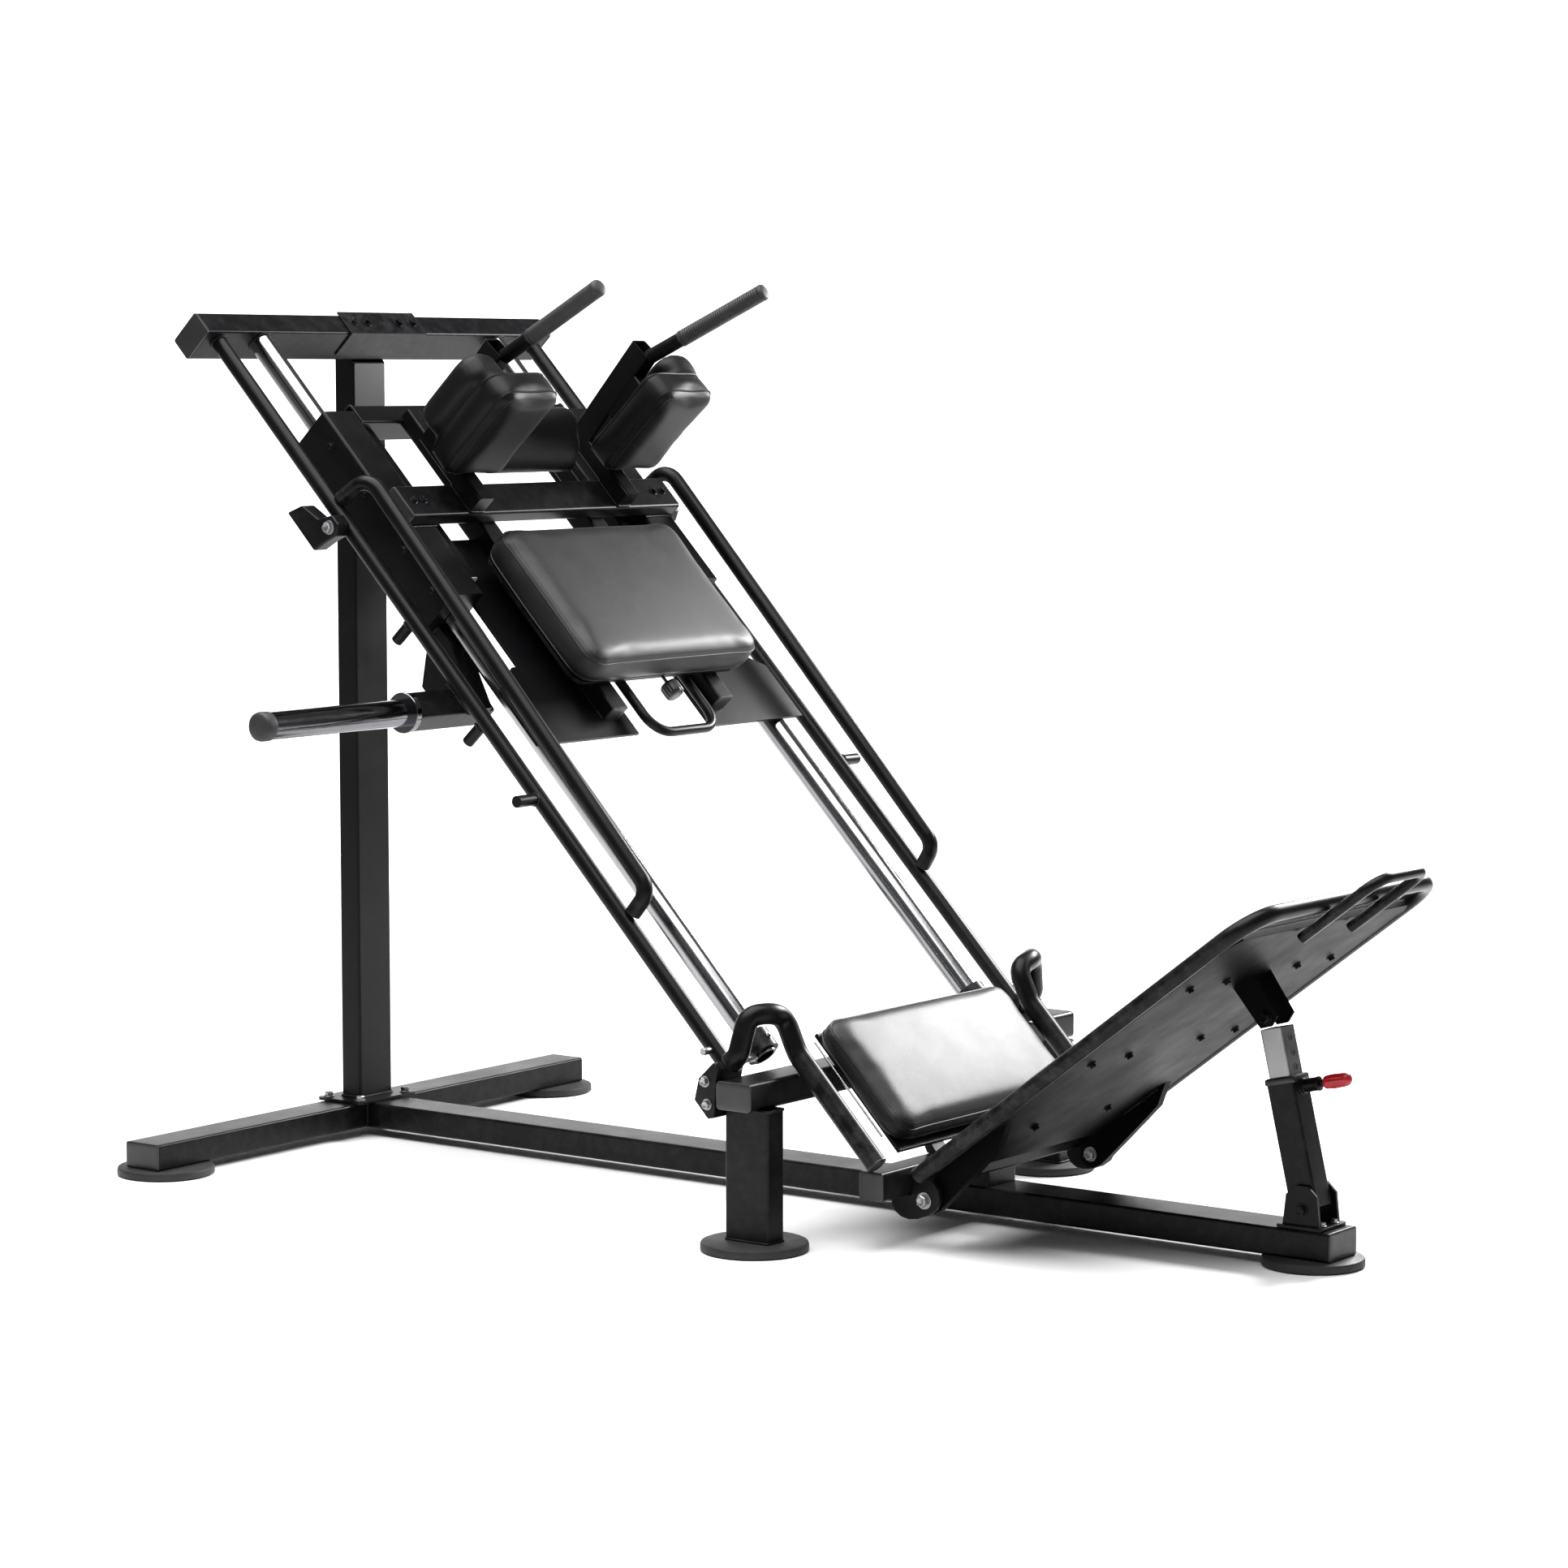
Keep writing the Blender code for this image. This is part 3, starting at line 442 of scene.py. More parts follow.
def fluted(centre, axis, profile, grooves, depth, low, high, count):
    """Loops of a turned shape with grooves down its side between two heights."""
    u, v = cross_axes(axis)
    loops = []
    for r, h in profile:
        loop = []
        for i in range(count):
            a = 2 * math.pi * i / count
            dip = depth * max(0.0, math.cos(grooves * a)) if low < h < high else 0.0
            loop.append(centre + axis * h + u * ((r - dip) * math.cos(a)) + v * ((r - dip) * math.sin(a)))
        loops.append(loop)
    return loops


def rounded(w, h, r, steps=4):
    """Outline of a rounded rectangle, as points (a, b) about its middle."""
    points = []
    for cx, cy, start in ((1, 1, 0), (-1, 1, 90), (-1, -1, 180), (1, -1, 270)):
        for i in range(steps + 1):
            a = math.radians(start + 90 * i / steps)
            points.append((cx * (w / 2 - r) + r * math.cos(a), cy * (h / 2 - r) + r * math.sin(a)))
    return points


def placed(points, centre, u, v):
    """Outline points (a, b) set out along u and v."""
    return [centre + u * a + v * b for a, b in points]


def tube_loops(path, radius, count=10, closed=False, ripple=None):
    """Loops of a round tube along a path; ripple gives the radius factor at each point."""
    loops = []
    last = len(path) - 1
    u = None
    for i, point in enumerate(path):
        before = path[i - 1] if i > 0 or closed else path[0]
        after = path[(i + 1) % len(path)] if i < last or closed else path[last]
        t = (after - before).normalized()
        if u is None:
            u = t.orthogonal().normalized()
        u = (u - t * u.dot(t)).normalized()
        r = radius * (ripple(i) if ripple else 1.0)
        loops.append(ring(point, u, t.cross(u), r, count))
    return loops


class Bolt(NamedTuple):
    """Width of a bolt's head across its flats, and its washer's radius."""

    across: float
    washer: float


def hex_bolt(batch, foot, axis, bolt):
    """Hex head with a domed chamfer on a washer, standing on a face."""
    axis = axis.normalized()
    u, v = cross_axes(axis)
    washer = bolt.washer
    top = 0.0016
    rim = [(washer - 0.0006, 0.0), (washer, 0.0004), (washer, 0.0013), (washer - 0.0005, top)]
    batch.add([ring(foot + axis * h, u, v, r, 24) for r, h in rim])
    r = bolt.across / 2 / math.cos(math.radians(30))
    height = bolt.across * 0.52
    turn = random.uniform(0, math.radians(60))
    head = [(r * 0.98, top), (r, 0.0020), (r, top + height * 0.82), (r * 0.90, top + height),
            (r * 0.72, top + height * 1.03), (r * 0.60, top + height * 0.98)]
    batch.add([ring(foot + axis * h, u, v, q, 6, turn) for q, h in head])


def bead_ripple(i):
    """Radius factor of a weld bead at its point i."""
    return 1.0 + 0.20 * math.sin(i * 2.1) + 0.06 * math.sin(i * 5.3)


def weld_bead(batch, corners, radius=0.0030, closed=True, pitch=0.0021):
    """Rippled weld bead along a polygon."""
    path = []
    ends = corners + corners[:1] if closed else corners
    for a, b in zip(ends, ends[1:]):
        steps = max(2, round((b - a).length / pitch))
        path += [a.lerp(b, i / steps) for i in range(steps)]
    if not closed:
        path.append(ends[-1])
    batch.add(tube_loops(path, radius, 7, closed, bead_ripple), closed=closed)


def box_corners(centre, u, v, w, h, r=0.005):
    """Corners of a box tube's outline, for the weld bead round it."""
    return placed(rounded(w, h, r, 2), centre, u, v)


def end_plug(batch, centre, axis, u, w, h, r=0.005):
    """Domed plastic plug pressed into the end of a box tube."""
    v = axis.cross(u).normalized()
    # Each step is a height above the tube's end, and how far the plug's outline lies inside the tube's.
    steps = [(-0.004, 0.0035), (0.0002, 0.0035), (0.0004, 0.0), (0.0016, 0.0), (0.0026, 0.0012),
             (0.0031, 0.0035), (0.0033, 0.010)]
    loops = []
    for rise, inset in steps:
        outline = rounded(w - 2 * inset, h - 2 * inset, max(r - inset, 0.0012))
        loops.append(placed(outline, centre + axis * rise, u, v))
    batch.add(loops)


# ---------------------------------------------------------------- padded pieces
SIMULATED_FRAMES = 20
# Heights of a pad's points over its lowest one: up to ON_BOARD they aren't drawn in off the board, up to HELD
# the simulation holds them, from SMOOTHED they are smoothed and lifted, and from FULL_LIFT lifted all the way.
ON_BOARD = 0.0012
HELD = 0.0020
SMOOTHED = 0.003
FULL_LIFT = 0.03


class Cushion(NamedTuple):
    """How a pad is made from its CAD solid. Lengths are in metres."""

    voxel: float  # size of the remeshed skin's cells
    shrink: float  # how far the skin is drawn in before it is blown up
    cap: float  # the most that it may swell
    pressure: float
    fill: float
    crown: float  # height of the dome over its middle
    relax: int  # rounds of smoothing


def simulate(obj, pinned, cap, pressure):
    """Inflates a pad with a cloth simulation, holds what rests on its board, and applies the result."""
    scene = bpy.context.scene
    bpy.context.view_layer.objects.active = obj
    group = obj.vertex_groups.new(name="held")
    held = [v.index for v in obj.data.vertices if pinned(v.co)]
    if held:
        group.add(held, 1.0, "REPLACE")
    rest = [v.co.copy() for v in obj.data.vertices]
    cloth = obj.modifiers.new("cloth", "CLOTH")
    cloth.settings.use_pressure = True
    cloth.settings.uniform_pressure_force = pressure
    cloth.settings.effector_weights.gravity = 0.0
    cloth.settings.quality = 5
    cloth.settings.mass = 0.3
    cloth.settings.tension_stiffness = 15
    cloth.settings.compression_stiffness = 15
    cloth.settings.shear_stiffness = 5
    cloth.settings.bending_stiffness = 0.5
    if held:
        cloth.settings.vertex_group_mass = "held"
    cloth.point_cache.frame_start = 1
    cloth.point_cache.frame_end = SIMULATED_FRAMES
    for number in range(1, SIMULATED_FRAMES + 1):
        scene.frame_set(number)
    graph = bpy.context.evaluated_depsgraph_get()
    swollen = obj.evaluated_get(graph).to_mesh()
    moved = [v.co.copy() for v in swollen.vertices]
    obj.evaluated_get(graph).to_mesh_clear()
    obj.modifiers.remove(cloth)
    scene.frame_set(1)
    for vertex, start, end in zip(obj.data.vertices, rest, moved):
        step = end - start
        if step.length > cap:
            step *= cap / step.length
        vertex.co = start + step
    obj.data.update()


def pad(node, body, frame_of, cushion):
    """Padded piece in place of a CAD solid. frame_of is (origin, u, v, out), out pointing off the board."""
    origin, u, v, out = frame_of
    mesh = NODES[node].data.copy()
    mesh.name = node + "_cover"
    obj = bpy.data.objects.new(node + "_cover", mesh)
    bpy.context.scene.collection.objects.link(obj)
    shape = bmesh.new()
    shape.from_mesh(mesh)
    bmesh.ops.remove_doubles(shape, verts=shape.verts, dist=0.00005)
    bmesh.ops.recalc_face_normals(shape, faces=shape.faces)
    shape.normal_update()
    low = min((vertex.co - origin).dot(out) for vertex in shape.verts)
    for vertex in shape.verts:
        step = -vertex.normal * cushion.shrink
        if (vertex.co - origin).dot(out) < low + ON_BOARD:
            step -= out * step.dot(out)
        vertex.co += step
    shape.to_mesh(mesh)
    shape.free()
    bpy.context.view_layer.objects.active = obj
    remesh = obj.modifiers.new("remesh", "REMESH")
    remesh.mode = "VOXEL"
    remesh.voxel_size = cushion.voxel
    graph = bpy.context.evaluated_depsgraph_get()
    remeshed = bpy.data.meshes.new_from_object(obj.evaluated_get(graph))
    obj.modifiers.clear()
    obj.data = remeshed
    remeshed.name = node + "_cover"
    simulate(obj, lambda co: (co - origin).dot(out) < low + HELD, cushion.cap, cushion.pressure)
    shape = bmesh.new()
    shape.from_mesh(obj.data)
    free = [vertex for vertex in shape.verts if (vertex.co - origin).dot(out) > low + SMOOTHED]
    axes = {"use_axis_x": True, "use_axis_y": True, "use_axis_z": True}
    for _ in range(cushion.relax):
        bmesh.ops.smooth_vert(shape, verts=free, factor=0.5, **axes)
    if cushion.crown:
        spans = [max(abs((vertex.co - origin).dot(d)) for vertex in shape.verts) for d in (u, v)]
        for vertex in free:
            a = (vertex.co - origin).dot(u) / spans[0]
            b = (vertex.co - origin).dot(v) / spans[1]
            height = (vertex.co - origin).dot(out) - low
            lift = cushion.crown * max(0.0, 1 - a * a) * max(0.0, 1 - b * b)
            vertex.co += out * lift * min(1.0, height / FULL_LIFT)
    shape.to_mesh(obj.data)
    shape.free()
    obj.data.polygons.foreach_set("use_smooth", [True] * len(obj.data.polygons))
    obj.data.materials.clear()
    obj.data.materials.append(COVERS.get(node, VINYL))
    fine = obj.modifiers.new("fine", "SUBSURF")
    fine.levels = 1
    fine.render_levels = 1
    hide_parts(node)
    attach(obj, body)
    return obj


def seam_path(tree, outline, frame_of, height):
    """Points where rays towards the pad's middle, at one height, meet its side."""
    centre, u, v, out = frame_of
    path = []
    for a, b in outline:
        side = u * a + v * b
        start = centre + out * height + side * (1 + SEAM_REACH / max(side.length, 1e-6))
        hit = tree.ray_cast(start, -side.normalized(), 2 * SEAM_REACH + side.length)
        if hit[0] is not None:
            path.append(hit[0])
    return path


def dense(outline, step):
    """The outline with points about a step apart."""
    points = []
    for (ax, ay), (bx, by) in zip(outline, outline[1:] + outline[:1]):
        length = math.hypot(bx - ax, by - ay)
        count = max(1, round(length / step))
        points += [(ax + (bx - ax) * i / count, ay + (by - ay) * i / count) for i in range(count)]
    return points


# Parts of a stitch: place along it, rise off the surface, and thickness as a share of the thread's.
STITCH_PARTS = ((-0.5, -0.0004, 0.35), (-0.32, 0.0002, 0.9), (0.0, 0.00045, 1.0), (0.32, 0.0002, 0.9),
                (0.5, -0.0004, 0.35))
STITCH_PITCH = 0.0062
STITCH_LENGTH = 0.0042
THREAD_R = 0.00055
WELT_R = 0.0021
SEAM_REACH = 0.05
STITCH_LIFT = 0.0001


def stitches(batch, path, normals):
    """Short thread dashes laid along a path on a surface."""
    travelled = 0.0
    due = 0.0
    for (a, b), n in zip(zip(path, path[1:] + path[:1]), normals):
        run = (b - a).length
        if run < 1e-6:
            continue
        along = (b - a) / run
        while due <= travelled + run:
            middle = a + along * (due - travelled)
            side = along.cross(n).normalized()
            batch.add([ring(middle + along * (f * STITCH_LENGTH) + n * rise, side, n, THREAD_R * share, 5)
                       for f, rise, share in STITCH_PARTS])
            due += STITCH_PITCH
        travelled += run


def seams(name, obj, body, frame_of, outline_of, heights, face_inset=0.017, step=0.006):
    """Piping at each height of a slab pad's side, and a stitched line on its face just inside the rim.

    outline_of is the pad's (width, height, corner radius) along u and v of frame_of.
    """
    centre, u, v, out = frame_of
    tree = BVHTree.FromObject(obj, bpy.context.evaluated_depsgraph_get())
    w, h, r = outline_of
    outline = dense(rounded(w, h, r, 6), step)
    welt = Batch()
    for height in heights:
        path = seam_path(tree, outline, frame_of, height)
        welt.add(tube_loops(path, WELT_R, 8, True), closed=True)
    welt.make(name + "_welt", COVERS.get(name, VINYL), body, "vinyl")
    inner = dense(rounded(w - 2 * face_inset, h - 2 * face_inset, max(r - face_inset, 0.012), 6), step)
    path = []
    normals = []
    for a, b in inner:
        start = centre + u * a + v * b + out * 0.2
        hit = tree.ray_cast(start, -out, 0.3)
        if hit[0] is not None:
            path.append(hit[0] + hit[1] * STITCH_LIFT)
            normals.append(hit[1])
    thread = Batch()
    stitches(thread, path, normals)
    thread.make(name + "_stitches", THREAD, body, "vinyl")


# Each pad's middle at its board, and its directions, as its CAD solid has them.
BACK = (rail(0.7725, 0, 0.0848), Y, -DOWN, OUT)
SEAT = (rail(1.8705, 0, 0.0798), Y, -DOWN, OUT)
PANEL_PAD = (panel(0.415, 0, 0.031), ALONG, Y, FACE)
HEAD = (rail(0.390, 0, 0.110), Y, DOWN, OUT)
# The shoulder pads and head rest take the darker vinyl copy, which is painted shade.
COVERS = {"shoulder_pad_right": SHADED_VINYL, "shoulder_pad_left": SHADED_VINYL, "head_rest": SHADED_VINYL}
SLAB_FILL = 0.8
ROLL_FILL = 0.85

back = pad("back_pad", "carriage", BACK, Cushion(0.0060, 0.0030, 0.006, 3.0, SLAB_FILL, 0.004, 14))
seat = pad("seat_pad", "base", SEAT, Cushion(0.0058, 0.0030, 0.006, 3.0, SLAB_FILL, 0.005, 14))
foot = pad("panel_pad", "panel", PANEL_PAD, Cushion(0.0065, 0.0020, 0.004, 3.0, SLAB_FILL, 0.002, 3))
seams("back_pad", back, "carriage", BACK, (0.530, 0.350, 0.045), (0.054, 0.010))
seams("seat_pad", seat, "base", SEAT, (0.580, 0.265, 0.045), (0.032, 0.008))
seams("panel_pad", foot, "panel", PANEL_PAD, (0.770, 0.610, 0.030), (0.012,), 0.014)

for side, sign in SIDES:
    spot = (rail(0.4075, sign * 0.235, 0.262), Y, OUT, DOWN)
    shoulder = pad(f"shoulder_pad_{side}", "carriage", spot,
                   Cushion(0.0050, 0.0025, 0.005, 2.5, ROLL_FILL, 0.003, 12))
    seams(f"shoulder_pad_{side}", shoulder, "carriage", spot, (0.170, 0.230, 0.030), (0.062, 0.016), 0.015,
          0.005)
pad("head_rest", "carriage", HEAD, Cushion(0.0055, 0.0030, 0.006, 2.5, ROLL_FILL, 0.0, 12))


# ---------------------------------------------------------------- bolts, welds and plugs
FLANGE_BOLT = Bolt(0.015, 0.0115)
FRAME_BOLT = Bolt(0.013, 0.0100)
HINGE_BOLT = Bolt(0.019, 0.0150)
LUG_BOLT = Bolt(0.017, 0.0135)
HOOK_BOLT = Bolt(0.017, 0.0130)
STRUT_BOLT = Bolt(0.016, 0.0125)
BEARER_BOLT = Bolt(0.012, 0.0090)
PAD_BOLT = Bolt(0.010, 0.0085)
YOKE_BOLT = Bolt(0.010, 0.0080)
HOUSING_BOLT = Bolt(0.010, 0.0078)
BRACKET_BOLT = Bolt(0.010, 0.0075)
SOCKET_SCREW = Bolt(0.008, 0.0060)

# Radii of weld beads.
SMALL_BEAD = 0.0018
RING_BEAD = 0.0020
THIN_BEAD = 0.0022
FRAME_BEAD = 0.0024
WIDE_BEAD = 0.0026
POST_BEAD = 0.0028


def base_trim():
    """Bolts, weld beads, tube plugs and rail pins of the base, and pale metal strips on the seat frame as a
    painted highlight.
    """
    bolts = Batch()
    for dx in (-1, 1):
        for dy in (-1, 1):
            hex_bolt(bolts, at(POST_X + dx * 0.042, dy * 0.067, FLANGE_TOP), Z, FLANGE_BOLT)
    for dx in (-1, 1):
        for dy in (-1, 1):
            hex_bolt(bolts, at(1.060 + dx * 0.0335, dy * 0.021, 0.0738), Z, BRACKET_BOLT)
    for sign in (-1, 1):
        hex_bolt(bolts, HINGE + Y * sign * 0.2892, Y * sign, HINGE_BOLT)
        for s, n in ((1.749, -0.004), (1.781, -0.028)):
            hex_bolt(bolts, rail(s, sign * 0.5162, n), Y * sign, FRAME_BOLT)
        hex_bolt(bolts, rail(1.712, sign * ROD_Y, 0.0432), OUT, SOCKET_SCREW)
    bolts.make("frame_bolts", STEEL, "base", "zinc", 25.0)

    painted = Batch()
    for y in (-0.085, -0.045, 0.045, 0.085):
        hex_bolt(painted, rail(-0.025, y, 0.0424), OUT, FRAME_BOLT)
    for sign in (-1, 1):
        hex_bolt(painted, STRUT_FOOT + Y * sign * 0.036, Y * sign, STRUT_BOLT)
    painted.make("painted_bolts", PAINT, "base", "frame_black", 25.0)

    welds = Batch()
    weld_bead(welds, box_corners(at(POST_X, 0, FLANGE_TOP + 0.001), X, Y, 0.051, 0.096))
    across, along = cross_axes(DOWN)
    for sign in (-1, 1):
        for z, radius in ((0.2490, WIDE_BEAD), (0.0185, FRAME_BEAD)):
            weld_bead(welds, box_corners(at(COLUMN_X, sign * COLUMN_Y, z), X, Y, 0.0935, 0.0485), radius)
        for y, r in ((ROD_Y, 0.0235), (SIDE_Y, 0.0158)):
            weld_bead(welds, ring(rail(0.001, sign * y, TUBE_N), across, along, r, 28), THIN_BEAD)
        for s in (0.700, 0.945):
            weld_bead(welds, ring(rail(s, sign * SIDE_Y, -0.0035), DOWN, Y, 0.0112, 18), SMALL_BEAD)
        weld_bead(welds, ring(rail(1.128, sign * 0.4725, TUBE_N), DOWN, OUT, 0.0112, 18), SMALL_BEAD)
        weld_bead(welds, ring(rail(1.744, sign * 0.470, 0.0326), DOWN, Y, 0.0194, 28), RING_BEAD)
    for y in (-0.0475, 0.0475):
        upright = [at(POST_X + 0.0435, y, 0.018), at(POST_X + 0.0435, y, 0.067)]
        weld_bead(welds, upright, POST_BEAD, False)
    welds.make("frame_welds", PAINT, "base", "frame_black", 60.0)

    plugs = Batch()
    foot_plug = [(0.0180, -0.0020), (0.0192, 0.0003), (0.0192, 0.0014), (0.0150, 0.0036), (0.0060, 0.0044)]
    end_plug(plugs, at(1.1193, 0, BEAM_Z), X, Y, 0.095, 0.050)
    for sign in (-1, 1):
        end_plug(plugs, at(POST_X, sign * 0.6306, BEAM_Z), Y * sign, X, 0.085, 0.050)
        end_plug(plugs, at(0.215, sign * 0.515, 0.275), Y * sign, X, 0.075, 0.050, 0.008)
        end_plug(plugs, at(0.405, sign * 0.372, 0.1183), Y * sign, X, 0.050, 0.050)
        plugs.add(turned(rail(2.030, sign * ARCH_Y, 0.090), DOWN, foot_plug, 28))
    plugs.make("tube_plugs", PLASTIC, "base", "black_plastic")

    # Painted highlight: a pale metal strip along each side of the seat frame stands in for the light line at
    # the pad's lower edge.
    strips = Batch()
    for sign in (-1, 1):
        ends = [rail(1.764, sign * 0.2885, 0.0775), rail(1.975, sign * 0.2885, 0.0775)]
        strips.add(tube_loops(ends, 0.0022, 10))
    strips.make("seat_highlight_strips", HIGHLIGHT_STRIP, "base", "zinc", 40.0)

    pins = Batch()
    for sign in (-1, 1):
        for s, y0, y1 in ((1.7325, 0.374, 0.442), (1.700, 0.472, 0.494)):
            a = rail(s, sign * y0, TUBE_N)
            b = rail(s, sign * y1, TUBE_N)
            span = (b - a).length
            profile = [(0.0060, 0.0), (0.0068, 0.0012), (0.0068, span - 0.0012), (0.0060, span)]
            pins.add(turned(a, b - a, profile, 16))
    pins.make("rail_pins", STEEL, "base", "zinc")


def carriage_trim():
    """Bolts, weld beads and plugs of the carriage, its horn's cap, shoulder grips and stay ends."""
    bolts = Batch()
    welds = Batch()
    plugs = Batch()
    for sign in (-1, 1):
        for s in (0.300, 0.420, 0.560, 0.660):
            for n in (-0.018, 0.046):
                hex_bolt(bolts, rail(s, sign * 0.400, n), Y * sign, HOUSING_BOLT)
        for s in (0.870, 0.925):
            hex_bolt(bolts, rail(s, sign * 0.162, 0.0350), -OUT, BEARER_BOLT)
        for y in (0.345, 0.372):
            hex_bolt(bolts, rail(YOKE_S, sign * y, 0.1066), OUT, YOKE_BOLT)
        support_foot = box_corners(rail(YOKE_S, sign * 0.220, 0.1072), DOWN, Y, 0.070, 0.041)
        weld_bead(welds, support_foot, THIN_BEAD)
        tube_end = box_corners(rail(0.245, sign * 0.3110, 0.047), DOWN, OUT, 0.0445, 0.0545)
        weld_bead(welds, tube_end, FRAME_BEAD)
        for s in (0.457, 0.5325):
            weld_bead(welds, [rail(s, sign * y, 0.0766) for y in (0.313, 0.395)], FRAME_BEAD, False)
        weld_bead(welds, [rail(s, sign * 0.1845, 0.042) for s in (0.855, 0.988)], THIN_BEAD, False)
        end_plug(plugs, rail(0.990, sign * 0.162, 0.053), DOWN, Y, 0.045, 0.046)
        end_plug(plugs, rail(YOKE_S, sign * 0.396, 0.0913), Y * sign, DOWN, 0.076, 0.030, 0.006)
    weld_bead(welds, box_corners(rail(HORN_S, -0.4945, HORN_N), DOWN, OUT, 0.0605, 0.0455), WIDE_BEAD)
    weld_bead(welds, [rail(0.7008, -0.371, n) for n in (-0.045, -0.013)], FRAME_BEAD, False)
    weld_bead(welds, [rail(s, -0.371, -0.0697) for s in (0.790, 0.866)], FRAME_BEAD, False)
    bolts.make("carriage_bolts", PAINT, "carriage", "frame_black", 25.0)
    welds.make("carriage_welds", PAINT, "carriage", "frame_black", 60.0)
    plugs.make("carriage_plugs", PLASTIC, "carriage", "black_plastic")

    cap = Batch()
    cap_profile = [(0.0254, 0.0), (0.0262, 0.0015), (0.0264, 0.006), (0.0264, 0.017), (0.0252, 0.0215),
                   (0.0225, 0.0240), (0.0150, 0.0256), (0.0060, 0.0262)]
    cap.add(turned(rail(HORN_S, -0.8804, HORN_N) + Y * 0.020, -Y, cap_profile, 40))
    cap.make("horn_cap", RUBBER, "carriage", "rubber")

    first = 0.060
    ribs = 34
    for side, sign in SIDES:
        a = at(-0.522, sign * 0.220, 1.555)
        b = at(-0.290, sign * 0.250, 1.669)
        length = (b - a).length
        profile = [(0.0146, first - 0.002), (0.0162, first), (0.0166, first + 0.003)]
        for i in range(ribs):
            h = first + 0.008 + (length - first - 0.016) * i / ribs
            profile += [(0.0156, h), (0.0163, h + 0.0012), (0.0163, h + 0.0036), (0.0156, h + 0.0048)]
        profile += [(0.0160, length - 0.006), (0.0166, length - 0.004), (0.0164, length),
                    (0.0150, length + 0.003), (0.0110, length + 0.0050), (0.0040, length + 0.0058)]
        grip = Batch()
        grip.add(turned(a, b - a, profile, 28))
        grip.make(f"shoulder_grip_{side}", RUBBER, "carriage", "rubber", 50.0)

    tips = Batch()
    for sign in (-1, 1):
        end_plug(tips, rail(0.640, sign * 0.2867, 0.028), DOWN, Y, 0.050, 0.048, 0.006)
    tips.make("stay_ends", PALE, "carriage", "black_plastic")


def knob():
    """Fluted plastic knob on a steel plunger, in place of the plain CAD knob."""
    foot_at = rail(0.9328, 0.010, 0.0803)
    profile = [(0.012, 0.0180), (0.0165, 0.0190), (0.0188, 0.0225), (0.0190, 0.0260), (0.0190, 0.0400),
               (0.0184, 0.0440), (0.0160, 0.0470), (0.0120, 0.0482), (0.0060, 0.0486)]
    handle = Batch()
    handle.add(fluted(foot_at, DOWN, profile, 12, 0.0013, 0.020, 0.045, 96))
    piece = handle.make("plunger_knob", PLASTIC, "knob", "black_plastic")
    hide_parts("carriage_knob")
    stem = Batch()
    stem.add(turned(foot_at, DOWN, [(0.0032, 0.0004), (0.0035, 0.001), (0.0035, 0.0185)], 20))
    stem.make("plunger_stem", STEEL, "knob", "zinc")


def panel_trim():
    """Bolts and weld beads of the foot panel."""
    bolts = Batch()
    pad_bolts = Batch()
    welds = Batch()
    for sign in (-1, 1):
        hex_bolt(pad_bolts, STRUT_HEAD + Y * sign * 0.0312, Y * sign, STRUT_BOLT)
        hex_bolt(bolts, HINGE + Y * sign * 0.2518, -Y * sign, LUG_BOLT)
        for e in (0.16, 0.40, 0.64):
            for y in (0.12, 0.24):
                hex_bolt(pad_bolts, panel(e, sign * y, 0.0186), -FACE, PAD_BOLT)
        weld_bead(welds, [panel(e, sign * 0.3066, 0.0195) for e in (0.06, 0.76)], FRAME_BEAD, False)
        weld_bead(welds, [panel(e, sign * 0.2515, 0.0180) for e in (0.10, 0.19)], FRAME_BEAD, False)
    bolts.make("panel_hinge_bolts", STEEL, "panel", "zinc", 25.0)
    # The bolts under the panel take the darker paint copy, which is painted shade.
    pad_bolts.make("panel_pad_bolts", SHADED_PANEL_PAINT, "panel", "frame_black", 25.0)
    welds.make("panel_welds", PAINT, "panel", "frame_black", 60.0)


